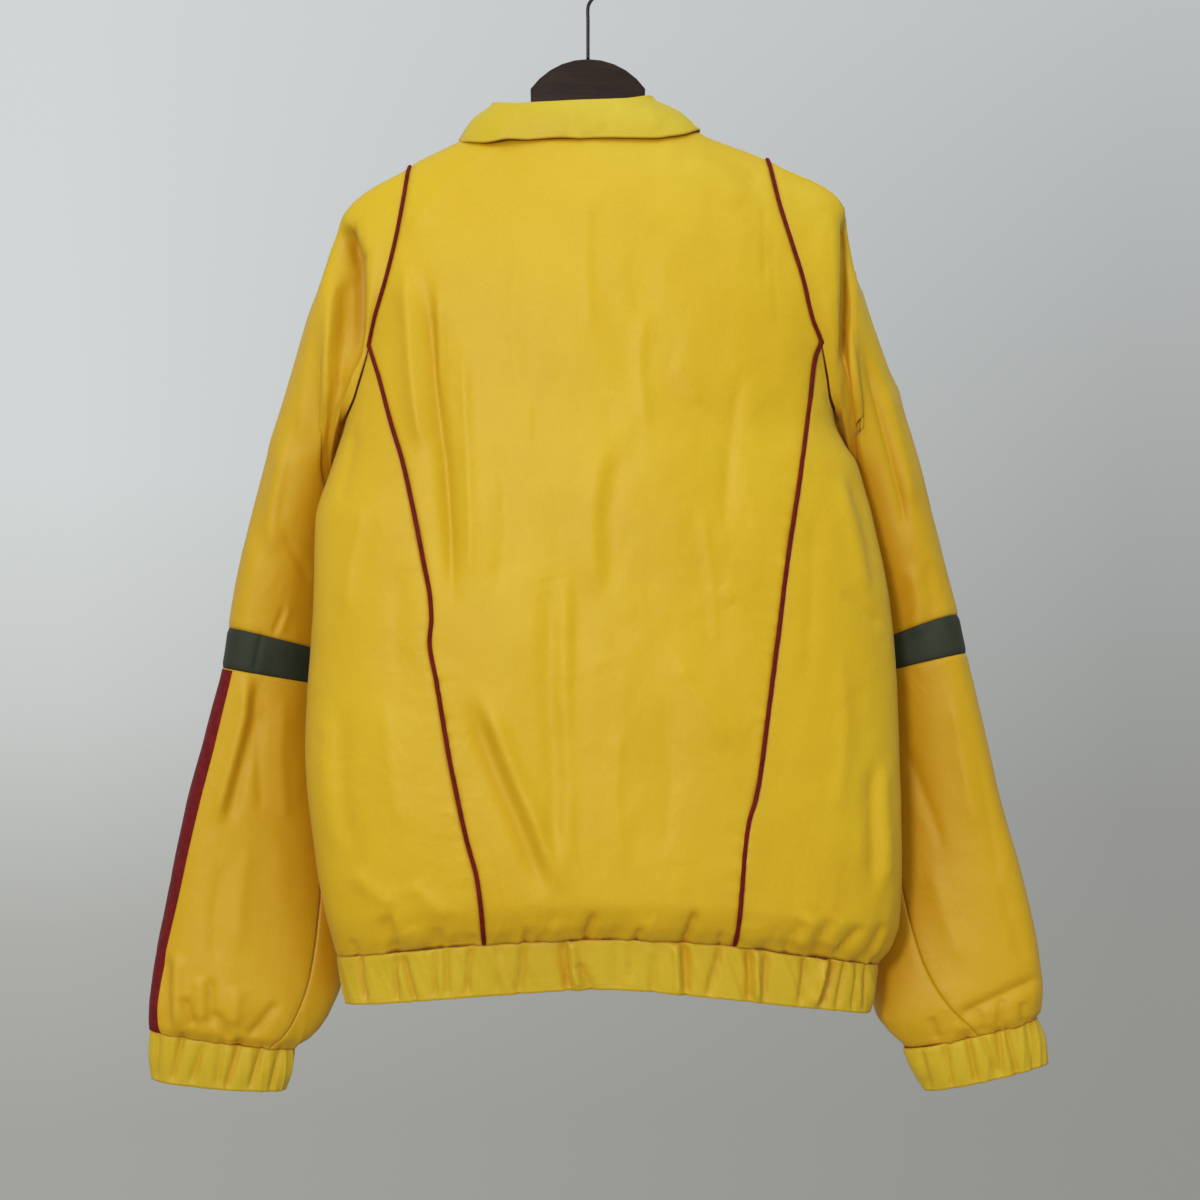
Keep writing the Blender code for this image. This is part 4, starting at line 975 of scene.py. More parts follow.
# kind, height mm, half width px, then points of the line in the 1200 px frame
BACK_FOLDS = [
    ("ridge", 2.6, 9, (404, 256), (409, 320), (413, 380), (418, 420), (424, 460)),
    ("ridge", -3.4, 8, (424, 262), (430, 330), (436, 400), (444, 460), (450, 540), (453, 620)),
    ("ridge", 1.2, 7, (462, 330), (466, 420), (470, 520), (470, 600)),
    ("ridge", 0.9, 3, (437, 280), (438, 340), (440, 400)),
    ("ridge", -1.3, 14, (577, 545), (575, 640), (572, 740), (577, 830), (585, 900)),
    ("fold", 1.1, 9, (557, 900), (563, 785), (558, 700), (558, 560)),
    ("fold", -2.4, 9, (474, 690), (485, 722), (498, 755), (513, 792), (530, 830), (543, 866), (553, 900)),
    ("ridge", 1.0, 7, (672, 655), (690, 685), (707, 712), (732, 748)),
    ("ridge", 0.8, 6, (672, 360), (686, 380), (702, 404)),
    ("ridge", 0.9, 7, (645, 305), (640, 345), (640, 375), (648, 435)),
    ("ridge", 0.6, 6, (700, 505), (713, 580), (715, 650)),
    ("ridge", 1.2, 13, (505, 140), (472, 165), (436, 196), (400, 243)),
    ("fold", 0.8, 14, (690, 145), (728, 168), (757, 196)),
    ("ridge", -0.5, 2.2, (764, 202), (764.5, 245), (765, 292)),
    ("ridge", -0.4, 2.0, (770, 215), (772, 262), (775, 300), (779, 336)),
    ("ridge", 0.5, 2.2, (529, 402), (530, 442)),
    ("ridge", 0.8, 8, (590, 180), (585, 260), (592, 340)),
    ("ridge", -0.7, 10, (520, 230), (512, 320), (520, 420)),
    ("ridge", -1.0, 12, (664, 700), (672, 780), (664, 860)),
    ("ridge", 0.9, 9, (620, 720), (616, 800), (624, 880)),
    ("ridge", -0.9, 10, (500, 440), (505, 520), (498, 600)),
    ("fold", 1.0, 10, (610, 445), (600, 520), (604, 600)),
    ("ridge", -0.8, 8, (742, 360), (730, 450), (724, 540)),
    ("ridge", 0.7, 6, (720, 588), (726, 594), (732, 604)),
    # side panels
    ("ridge", -1.2, 6, (822, 352), (836, 385), (848, 420)),
    ("ridge", -1.0, 5, (826, 385), (840, 428), (856, 462)),
    ("fold", 1.2, 7, (842, 470), (862, 540), (874, 600)),
    ("ridge", -0.9, 6, (840, 590), (862, 612), (884, 628)),
    ("fold", 1.5, 6, (879, 895), (880, 850), (878, 800), (879, 755)),
    ("ridge", 0.9, 7, (838, 640), (846, 730), (838, 820)),
    ("ridge", -0.8, 9, (815, 500), (812, 600), (806, 700)),
    ("ridge", -1.0, 7, (356, 420), (348, 470), (338, 512)),
    ("ridge", 0.9, 7, (365, 500), (352, 560), (346, 620)),
    ("fold", 1.0, 8, (336, 700), (334, 780), (345, 860)),
    ("ridge", 0.8, 8, (384, 690), (392, 770), (404, 840)),
    ("ridge", -0.8, 9, (400, 560), (396, 620), (400, 690)),
    ("ridge", 1.4, 10, (352, 868), (372, 892), (398, 908)),
    ("ridge", 1.2, 9, (408, 880), (430, 905), (452, 920)),
    # what the hem's elastic gathers
    ("ridge", -2.8, 4, (386, 912), (391, 926), (396, 940), (400, 957)),
    ("fold", 1.5, 5, (400, 957), (393, 938), (384, 915)),
    ("ridge", -1.4, 3.5, (351, 938), (354, 948), (358, 960)),
    ("ridge", -1.8, 4, (434, 928), (439, 940), (445, 952)),
    ("ridge", -1.2, 4, (473, 934), (471, 944), (470, 952)),
    ("ridge", -1.7, 4, (528, 926), (526, 936), (524, 948)),
    ("ridge", -2.2, 4.5, (596, 912), (590, 926), (583, 944)),
    ("ridge", -1.2, 4, (640, 926), (638, 936), (636, 946)),
    ("ridge", -2.4, 4.5, (697, 910), (690, 928), (682, 948)),
    ("ridge", -1.3, 4, (722, 930), (720, 940), (720, 950)),
    ("ridge", -2.4, 4.5, (806, 920), (794, 936), (780, 956)),
    ("ridge", -2.2, 4, (833, 917), (822, 937), (811, 958)),
    ("ridge", -2.4, 4, (864, 924), (850, 940), (833, 959)),
    ("ridge", -2.0, 4, (886, 920), (877, 942), (865, 964)),
    ("ridge", 1.6, 7, (818, 915), (806, 932), (797, 950)),
    ("ridge", 1.3, 7, (846, 915), (834, 934), (824, 950)),
    ("ridge", 1.3, 8, (410, 926), (416, 940), (421, 950)),
    ("ridge", 1.2, 9, (556, 920), (556, 936), (552, 948)),
    ("ridge", 1.2, 9, (645, 918), (652, 934), (658, 944)),
    ("ridge", 1.1, 9, (745, 920), (748, 936), (750, 952)),
]
BAND_FOLDS = [
    ("ridge", -2.0, 3.2, (358, 948), (362, 975), (366, 1006)),
    ("ridge", -1.6, 2.8, (395, 950), (396, 975), (398, 1006)),
    ("ridge", -2.0, 3.2, (402, 950), (408, 975), (417, 1008)),
    ("ridge", -1.3, 2.6, (435, 944), (435, 972), (435, 1004)),
    ("ridge", -1.7, 3, (446, 942), (447, 970), (448, 1002)),
    ("ridge", -1.7, 3, (472, 940), (469, 970), (466, 1002)),
    ("ridge", -1.0, 2.6, (497, 940), (498, 968), (497, 998)),
    ("ridge", -1.8, 3.4, (524, 938), (522, 968), (518, 1000)),
    ("fold", -2.4, 4, (566, 934), (570, 965), (575, 996)),
    ("ridge", -1.8, 3.4, (577, 960), (585, 976), (596, 996)),
    ("ridge", -1.5, 3, (617, 934), (617, 964), (616, 996)),
    ("ridge", -1.2, 2.6, (632, 934), (631, 960), (629, 984)),
    ("ridge", -1.6, 3, (656, 950), (654, 972), (652, 998)),
    ("fold", 2.2, 4, (680, 938), (681, 968), (683, 1002)),
    ("ridge", -1.8, 3.2, (723, 940), (715, 970), (705, 1003)),
    ("fold", -2.2, 3.6, (752, 944), (753, 975), (754, 1007)),
    ("ridge", -1.3, 2.8, (768, 946), (765, 975), (762, 1007)),
    ("ridge", -1.7, 3, (806, 950), (803, 978), (798, 1010)),
    ("fold", 2.2, 4, (831, 953), (825, 978), (816, 1011)),
    ("ridge", -1.5, 2.6, (847, 955), (842, 980), (836, 1012)),
    ("ridge", -1.4, 2.2, (857, 958), (855, 985), (852, 1014)),
    ("ridge", -1.4, 2.2, (866, 960), (865, 985), (862, 1014)),
]
LEFT_SLEEVE_FOLDS = [
    ("step", -2.6, 4.0, (349, 214), (357, 236), (366, 259), (367, 300), (366, 330), (362, 356), (358, 384)),
    ("ridge", -1.6, 5, (350, 224), (356, 246), (360, 270)),
    ("ridge", -1.2, 3, (285, 606), (279, 621), (272, 637)),
    ("ridge", 0.8, 3, (290, 604), (284, 620), (278, 636)),
    ("ridge", -0.9, 2.2, (263, 628), (258, 652), (253, 676)),
    ("fold", 2.2, 6, (254, 668), (249, 719), (239, 758), (228, 799), (219, 832)),
    ("ridge", -0.8, 4, (282, 532), (296, 556), (311, 582)),
    ("ridge", 1.9, 6, (334, 262), (330, 310), (326, 370), (326, 420), (318, 470)),
    ("ridge", -2.0, 6, (347, 270), (346, 310), (342, 360), (338, 410)),
    ("ridge", 1.0, 9, (318, 290), (306, 370), (296, 450)),
    ("ridge", -0.9, 9, (300, 400), (288, 470), (276, 540)),
    ("fold", 1.2, 8, (262, 560), (268, 500), (280, 440)),
    ("fold", 1.6, 5, (174, 1034), (172, 990), (173, 950)),
    ("ridge", -2.0, 4, (211, 975), (211, 1000), (210, 1030)),
    ("ridge", -1.8, 4, (184, 995), (189, 1012), (195, 1028)),
    ("ridge", -1.8, 4, (215, 1010), (222, 1024), (230, 1040)),
    ("ridge", -2.2, 4.5, (278, 1000), (264, 1020), (246, 1040)),
    ("ridge", 1.5, 7, (240, 985), (236, 1008), (232, 1028)),
    ("ridge", 1.2, 7, (200, 975), (200, 1000), (202, 1024)),
    ("ridge", -1.2, 6, (262, 700), (258, 760), (262, 820)),
    ("ridge", 1.0, 8, (282, 690), (280, 760), (286, 830)),
    ("ridge", -1.0, 7, (222, 860), (214, 920), (216, 970)),
    ("ridge", 1.0, 8, (250, 840), (240, 900), (236, 960)),
]
RIGHT_SLEEVE_FOLDS = [
    ("step", 2.6, 4.0, (838, 206), (839, 250), (839, 300), (838, 345), (836, 378)),
    ("ridge", 2.2, 6, (847, 318), (853, 375), (859, 425), (868, 480)),
    ("ridge", -2.4, 5.5, (862, 340), (875, 395), (890, 455), (902, 505), (908, 545)),
    ("ridge", 1.4, 8, (884, 380), (900, 440), (914, 510)),
    ("ridge", -1.0, 6, (905, 740), (918, 780), (932, 815), (946, 860)),
    ("fold", 1.2, 8, (918, 560), (926, 600), (925, 640)),
    ("ridge", -1.8, 4, (1002, 996), (1001, 1010), (1000, 1028)),
    ("ridge", -2.2, 6, (1042, 976), (1008, 992), (966, 1012), (955, 1026)),
    ("ridge", -1.4, 4, (975, 1008), (980, 1020), (984, 1034)),
    ("ridge", -1.6, 4, (930, 1016), (934, 1028), (938, 1042)),
    ("ridge", -1.2, 4, (1022, 1000), (1022, 1012), (1022, 1024)),
    ("ridge", 1.2, 8, (950, 690), (962, 760), (978, 840)),
    ("ridge", -1.0, 8, (975, 740), (990, 820), (1002, 900)),
    ("ridge", 1.0, 9, (930, 860), (946, 920), (968, 970)),
    ("ridge", -0.9, 8, (1000, 880), (1014, 930), (1024, 970)),
]
CUFF_FOLDS = [
    ("ridge", -2.2, 3.5, (184, 1028), (178, 1055), (171, 1086)),
    ("ridge", -1.7, 3.5, (206, 1038), (198, 1060), (189, 1086)),
    ("ridge", -1.3, 3, (224, 1036), (220, 1062), (216, 1090)),
    ("ridge", -2.2, 3.5, (242, 1036), (234, 1062), (224, 1094)),
    ("ridge", -2.0, 3.5, (266, 1038), (257, 1064), (246, 1096)),
    ("ridge", -1.6, 3, (283, 1040), (276, 1066), (268, 1096)),
    ("ridge", -1.4, 3, (160, 1030), (158, 1056), (156, 1084)),
    ("ridge", -1.6, 3, (921, 1046), (926, 1066), (932, 1092)),
    ("ridge", -1.4, 3, (944, 1040), (948, 1062), (954, 1092)),
    ("ridge", -2.2, 3.2, (965, 1028), (971, 1054), (978, 1088)),
    ("ridge", -1.6, 3, (979, 1030), (989, 1054), (1000, 1080)),
    ("ridge", -2.0, 3.2, (997, 1020), (1000, 1050), (1003, 1084)),
    ("ridge", -2.0, 3.2, (1004, 1020), (1011, 1050), (1019, 1082)),
    ("ridge", -1.5, 3, (1026, 1016), (1030, 1046), (1034, 1078)),
]
COLLAR_FOLDS = [
    ("ridge", -0.8, 5, (520, 104), (524, 122), (530, 140)),
    ("ridge", 0.7, 6, (560, 104), (562, 122), (560, 138)),
    ("ridge", -0.7, 5, (612, 98), (608, 116), (606, 136)),
    ("ridge", 0.6, 6, (646, 100), (652, 116), (660, 130)),
]


# ------------------------------------------------------------------ fine meshes
CLOTH, BAND = 1.2, 2.0


def grid_normal(p, cyclic=False):
    """Smooth unit normals of a point grid [row, col]."""
    r = np.gradient(p, axis=0)
    if cyclic:
        c = (np.roll(p, -1, 1) - np.roll(p, 1, 1)) / 2
    else:
        c = np.gradient(p, axis=1)
    n = np.cross(c, r)
    ln = np.linalg.norm(n, axis=-1, keepdims=True)
    return n / np.maximum(ln, 1e-9)


def arc(p, axis):
    """Length along one axis of a grid, mm, averaged over the other."""
    d = np.linalg.norm(np.diff(p, axis=axis), axis=-1)
    d = d.mean(axis=1 - axis)
    return np.concatenate([[0], np.cumsum(d)])


def blur(a, rounds, cyclic=False):
    for _ in range(rounds):
        b = a.copy()
        b[1:-1] += a[2:] + a[:-2]
        b[1:-1] /= 3
        a = b
        b = a.copy()
        if cyclic:
            b = (a + np.roll(a, 1, 1) + np.roll(a, -1, 1)) / 3
        else:
            b[:, 1:-1] += a[:, 2:] + a[:, :-2]
            b[:, 1:-1] /= 3
        a = b
    return a


def mesh_object(name, verts, faces, mat, uvs=None, smooth=True):
    me = bpy.data.meshes.new(name)
    v = np.asarray(verts, float) / 1000
    me.from_pydata([tuple(q) for q in v], [], faces)
    me.materials.append(mat)
    me.polygons.foreach_set("use_smooth", [smooth] * len(me.polygons))
    if uvs is not None:
        layer = me.uv_layers.new(name="cloth")
        idx = np.empty(len(me.loops), dtype=np.int32)
        me.loops.foreach_get("vertex_index", idx)
        layer.data.foreach_set("uv", np.asarray(uvs, float)[idx].ravel())
    me.update()
    ob = bpy.data.objects.new(name, me)
    bpy.context.scene.collection.objects.link(ob)
    return ob


def shell(name, p, n, thick, mat, lift=None, cyclic=False, skin=None):
    """A closed cloth shell over a grid of points: outer face moved out by lift, inner
    face the cloth's thickness below it. uv holds metres along and across the cloth."""
    if lift is not None:
        p = p + n * lift[..., None]
    rows, cols = p.shape[:2]
    inner = p - n * thick
    v = np.concatenate([p.reshape(-1, 3), inner.reshape(-1, 3)])
    count = rows * cols
    idx = np.arange(count).reshape(rows, cols)
    nxt = np.roll(idx, -1, 1) if cyclic else idx[:, 1:]
    cur = idx if cyclic else idx[:, :-1]
    a, b, c, d = cur[:-1], nxt[:-1], nxt[1:], cur[1:]
    quads = np.stack([a, b, c, d], -1).reshape(-1, 4)
    faces = [quads, quads[:, ::-1] + count]
    top, low = cur[0], nxt[0]
    faces.append(np.stack([low, top, top + count, low + count], -1).reshape(-1, 4))
    top, low = cur[-1], nxt[-1]
    faces.append(np.stack([top, low, low + count, top + count], -1).reshape(-1, 4))
    if not cyclic:
        e0, e1 = idx[:-1, 0], idx[1:, 0]
        faces.append(np.stack([e0, e1, e1 + count, e0 + count], -1))
        e0, e1 = idx[:-1, -1], idx[1:, -1]
        faces.append(np.stack([e1, e0, e0 + count, e1 + count], -1))
    faces = np.concatenate(faces)
    vv, uu = np.meshgrid(arc(p, 0), arc(p, 1) if not cyclic else
                         np.concatenate([[0], np.cumsum(np.linalg.norm(
                             np.diff(p, axis=1), axis=-1).mean(0))]), indexing="ij")
    uv = np.stack([uu, vv], -1).reshape(-1, 2) / 1000
    uv = np.concatenate([uv, uv])
    ob = mesh_object(name, v, faces.tolist(), mat, uv)
    if skin:
        ob.data.materials.append(skin)
        inside = np.zeros(len(faces), dtype=np.int32)
        inside[len(quads):2 * len(quads)] = 1
        ob.data.polygons.foreach_set("material_index", inside)
    return ob


def edge_distance(p, which="lrtb", cyclic=False):
    """How far each grid point is from the named edges, mm along the cloth."""
    s = np.cumsum(np.concatenate([np.zeros((p.shape[0], 1)),
                  np.linalg.norm(np.diff(p, axis=1), axis=-1)], 1), 1)
    t = np.cumsum(np.concatenate([np.zeros((1, p.shape[1])),
                  np.linalg.norm(np.diff(p, axis=0), axis=-1)], 0), 0)
    out = np.full(p.shape[:2], 1e6)
    if "l" in which:
        out = np.minimum(out, s)
    if "r" in which:
        out = np.minimum(out, s[:, -1:] - s)
    if "t" in which:
        out = np.minimum(out, t)
    if "b" in which:
        out = np.minimum(out, t[-1:] - t)
    return out, s, t


# ------------------------------------------------------------- heights of the cloth
def roll(p, deep=1.0):
    """The slow unevenness of hung cloth and its fine crumple, mm, by position."""
    x, y, z = p[..., 0], p[..., 1], p[..., 2]
    a, b = x + 0.8 * y, z + 0.35 * y
    slow = waves(a / 62 + 0.14 * b / 62, b / 118, 11, 2)
    mid = waves(a / 22 - 0.2 * b / 30, b / 46, 23, 2)
    fine = waves(a / 8.5, b / 12, 37, 2)
    return deep * (1.9 * slow + 0.5 * mid + 0.1 * fine)


def seam_dip(d, deep=0.8, reach=2.6):
    return -deep * np.exp(-((d / reach) ** 2))


def pucker(d, along, high, pitch, reach, seed):
    """Short pulls across a seam that die out with the distance d from it."""
    return high * np.exp(-d / reach) * pleats(along / pitch, seed)


def gather(p, line_z, high, pitch, reach, seed):
    """Soft pleats that an elastic below line_z draws into the cloth above it."""
    x, y, z = p[..., 0], p[..., 1], p[..., 2]
    rise = np.maximum(z - line_z, 0)
    a = (x + 1.1 * y) * (1 - 0.0012 * rise)
    return high * np.exp(-((rise / reach) ** 1.2)) * pleats(a / pitch, seed)


def mirrored(table, seed, high=0.9):
    """The like of a table of creases for the side that the photo doesn't show: mirrored,
    and each one moved a little."""
    rng = np.random.default_rng(seed)
    out = []
    for kind, h, w, *pts in table:
        dx, dy, k = rng.uniform(-14, 14), rng.uniform(-16, 16), rng.uniform(0.7, 1.2)
        out.append((kind, h * k * high, w, *[(1214 - x + dx, y + dy) for x, y in pts]))
    return out


FRONT_FOLDS = [f for f in mirrored(BACK_FOLDS, 5) if f[2] > 4.5]
FRONT_FOLDS += [
    ("ridge", -2.0, 9, (560, 330), (548, 450), (552, 600)),
    ("fold", 1.8, 9, (640, 300), (662, 420), (668, 560)),
    ("ridge", 1.4, 10, (520, 560), (508, 680), (516, 800)),
    ("ridge", -1.6, 9, (690, 600), (704, 720), (694, 850)),
    ("ridge", 1.2, 7, (590, 500), (584, 620), (588, 760)),
]
SLEEVE_FRONT = {
    -1: mirrored(RIGHT_SLEEVE_FOLDS + CUFF_FOLDS, 8),
    1: mirrored(LEFT_SLEEVE_FOLDS + CUFF_FOLDS, 9),
}
SLEEVE_BACK = {-1: LEFT_SLEEVE_FOLDS + CUFF_FOLDS, 1: RIGHT_SLEEVE_FOLDS + CUFF_FOLDS}


def torso_lift(p, side):
    """Height of the torso's cloth above its plain form, mm, by position alone."""
    x, z = p[..., 0], p[..., 2]
    top = soft((top_z(x, side) - z) / 30)
    seam_level = hem_z(x, "seam", side)
    out = roll(p) * (0.35 + 0.65 * top)
    out = out + creases(p, BACK_FOLDS if side < 0 else FRONT_FOLDS) * 1.9
    out = out + gather(p, seam_level, 2.5, 14.0, 38.0, 51)
    out = out + gather(p, seam_level, 1.2, 6.5, 16.0, 57)
    return out


def sleeve_lift(p, n, hand):
    back = soft((0.35 - n[..., 1]) / 0.7)
    out = roll(p, 0.9)
    out = out + 1.8 * creases(p, SLEEVE_BACK[hand]) * back
    out = out + 1.8 * creases(p, SLEEVE_FRONT[hand]) * (1 - back)
    return out


def dress(ob, d, along, stitch):
    """Marks each point with its distance from the seam and its run along it, for stitches."""
    count = d.size
    for name, values in (("seam_d", d), ("seam_s", along)):
        a = ob.data.attributes.new(name, "FLOAT", "POINT")
        v = np.asarray(values, float).ravel() / 1000
        a.data.foreach_set("value", np.concatenate([v, v]))
    return ob


def piece(ob, nodes, body=BODY):
    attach(ob, body)
    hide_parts(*nodes)
    return ob


def nearest_edge(d_list):
    """The least of several (distance, run) pairs, point by point."""
    d, s = d_list[0]
    for dd, ss in d_list[1:]:
        s = np.where(dd < d, ss, s)
        d = np.minimum(d, dd)
    return d, s


# --------------------------------------------------------------------- the cloth
def square_to_side(n, from_seam):
    """Turns the normals straight sideways at the side seam, so that both its sheets
    stand out alike and stay closed."""
    n = n.copy()
    n[..., 1] *= soft(from_seam / 18)
    n[..., 2] *= soft(from_seam / 18)
    return n / np.linalg.norm(n, axis=-1, keepdims=True)


def make_torso(mat, inner):
    cap = np.linspace(0, 0.75, 96) ** 1.15
    cap = cap * 0.75 / cap[-1]
    cap[-1] = 0.75
    p = back_centre(low=150, cap=list(cap), shoulder=42, neck=84)
    n = torso_normal(p[..., 0], p[..., 2], -1)
    _, s, t = edge_distance(p)
    left, right, top, low = s, s[:, -1:] - s, t[-1:] - t, t
    py = in_frame(p)[..., 1]
    lift = torso_lift(p, -1)
    arm = soft((py - 335) / 30)
    close = 1 - (1 - soft(np.minimum(left, right) / 9)) * (1 - arm) * 0.8
    lift = lift * close
    some = 0.25 + 0.75 * soft((py - 440) / 60)
    lift += pucker(left, t, 1.0, 4.6, 9, 71) * (0.3 + 1.3 * soft((py - 655) / 30) * soft((830 - py) / 40))
    lift += pucker(right, t, 1.2, 5.4, 11, 73) * some
    lift += seam_dip(np.minimum(np.minimum(left, right), low))
    p = p + (1 - soft(top / 7))[..., None] * np.array([0, 3.2, 1.4])
    ob = shell("cloth_back_centre", p + n * CLOTH / 2, n, CLOTH, mat, lift, skin=inner)
    dress(ob, np.where(low < 12, low, 50), s, 0)
    piece(ob, ["back_centre"])
    for hand, tag in ((-1, "L"), (1, "R")):
        pit = np.linspace(0.75, 1, 46)
        p = side_back(hand, low=190, pit=list(pit))
        from_side_ = edge_distance(p, "l")[1]
        p[..., 1] -= p[:, :1, 1] * np.exp(-from_side_ / 9)      # meets the front's edge
        n = torso_normal(p[..., 0], p[..., 2], -1)
        _, s, t = edge_distance(p)
        lift = torso_lift(p, -1)
        piped, side_, top, low = s[:, -1:] - s, s, t[-1:] - t, t
        n = square_to_side(n, side_)
        lift *= 1 - 0.85 * (1 - soft(side_ / 16))
        lift = lift * (1 - 0.8 * (1 - soft(top / 9)))
        lift += pucker(piped, t, 0.8, 4.8, 9, 77) + pucker(side_, t, 0.4, 7.5, 9, 81)
        d, along = nearest_edge([(piped, t), (side_, t), (low, s), (top, s)])
        lift += seam_dip(d)
        ob = shell(f"cloth_side_{tag}", p + n * CLOTH / 2, n, CLOTH, mat, lift, skin=inner)
        dress(ob, np.where(low < 12, low, 50), s, 0)
        piece(ob, [f"side_back_{tag}"])
        rows = list(cap) + list(np.linspace(0.75, 1, 30)[1:])
        p = front(hand, low=120, rows=rows, shoulder=34, neck=50)
        n = torso_normal(p[..., 0], p[..., 2], 1)
        _, s, t = edge_distance(p)
        lift = torso_lift(p, 1)
        outer_, zip_, top, low = s, s[:, -1:] - s, t[-1:] - t, t
        n = np.where((p[..., 2] < -400)[..., None], square_to_side(n, outer_), n)
        lift *= 1 - 0.85 * (1 - soft(outer_ / 16)) 
        lift *= 1 - 0.9 * (1 - soft(zip_ / 14))
        lift += pucker(zip_, t, 0.9, 9.0, 12, 83) * soft(zip_ / 3) + pucker(outer_, t, 0.4, 7.5, 9, 81)
        lift += seam_dip(np.minimum(np.minimum(outer_, zip_), low))
        p = p + (1 - soft(top / 7))[..., None] * np.array([0, -1.2, -2.6])
        ob = shell(f"cloth_front_{tag}", p + n * CLOTH / 2, n, CLOTH, mat, lift, skin=inner)
        dress(ob, np.minimum(np.where(low < 12, low, 50), zip_), np.where(zip_ < low, t, s), 0)
        piece(ob, [f"front_{tag}"])


def make_hem(mat):
    turn, v = np.linspace(0, 1, 560), np.linspace(0, 1, 21)
    p = hem_band(turn, v)
    # the band's two ends are sewn against the zip
    run = np.cumsum(np.concatenate([[0], np.linalg.norm(np.diff(p[0], axis=0), axis=1)]))
    zip_at = ZIP.at("x", p[:, 0, 2])
    p[..., 0] += (zip_at - ZIP_HALF - p[:, 0, 0])[:, None] * np.exp(-run / 26)
    p[..., 0] += (zip_at + ZIP_HALF - p[:, -1, 0])[:, None] * np.exp(-(run[-1] - run) / 26)
    n = np.where((p[..., 1] < 0)[..., None], torso_normal(p[..., 0], p[..., 2], -1),
                 torso_normal(p[..., 0], p[..., 2], 1))
    _, s, t = edge_distance(p)
    back = soft((4 - p[..., 1]) / 14)
    lift = creases(p, BAND_FOLDS) * back * 2.3
    lift += creases(p, mirrored(BAND_FOLDS, 15)) * (1 - back) * 1.8
    mid = np.sin(math.pi * np.clip(v, 0, 1))[:, None]
    lift += 1.7 * pleats(s / 8.5, 91) * (0.45 + 0.55 * mid)
    lift += 0.55 * pleats(s / 3.9 + 0.2 * np.sin(t / 9), 97)
    lift += 0.5 * mid
    lift += seam_dip(t, 0.9, 2.2)
    ob = shell("cloth_hem_band", p + n * BAND / 2, n, BAND, mat, lift)
    dress(ob, t[-1:] - t, s, 0)
    piece(ob, ["hem_band"])


# the red stripe's edges, mm round the sleeve's back from its outer line
STRIPE = Table(
    "v inner outer",
    [(8, -4, 11), (10, -4, 15), (12, -4, 16), (14, -3, 17)],
)


def fine_sleeve(hand, v, count=720):
    """The sleeve's points and normals at evenly spaced turns u, first column repeated."""
    p = sleeve(hand, np.linspace(0, 1, count + 1)[:-1], v)
    n = cyclic_normal(p, hand, v)
    return np.concatenate([p, p[:, :1]], 1), np.concatenate([n, n[:, :1]], 1)


def at_turns(grid, u):
    """A fine sleeve grid [row, turn] read at turns u [row, column]."""
    count = grid.shape[1] - 1
    f = (u % 1) * count
    i = np.clip(np.floor(f).astype(int), 0, count - 1)
    k = (f - i)[..., None]
    rows = np.arange(grid.shape[0])[:, None]
    return grid[rows, i] * (1 - k) + grid[rows, i + 1] * k


def cyclic_normal(p, hand, v):
    n = normals_of(p, True)
    far = p - p.mean(axis=1, keepdims=True)
    n = n * np.sign(np.mean(np.sum(n[-3:] * far[-3:], axis=-1)))
    return n


def underarm(hand):
    """The gathered cloth under the arm, from inside the torso's side to inside the sleeve."""
    line = sleeve(hand, np.array([0.5]), np.linspace(0, 4.2, 60))[:, 0]
    z = np.linspace(-377, -446, 32)
    order = np.argsort(line[:, 2])
    xs = np.interp(z, line[order, 2], line[order, 0])
    ys = np.interp(z, line[order, 2], line[order, 1])
    xb = extent_x(z, hand, -1)
    k = np.linspace(0, 1, 22)
    start = hand * (np.abs(xb) - 11)
    end = xs + hand * 5
    x = start[:, None] + (end - start)[:, None] * k
    y = 5 + (np.maximum(ys, 3)[:, None] + 5) * k + 2.5 * np.sin(math.pi * k)
    y = y + 1.1 * np.sin(z / 5.2)[:, None] * np.sin(math.pi * k)
    return np.stack([x, y, np.broadcast_to(z[:, None], x.shape)], -1)


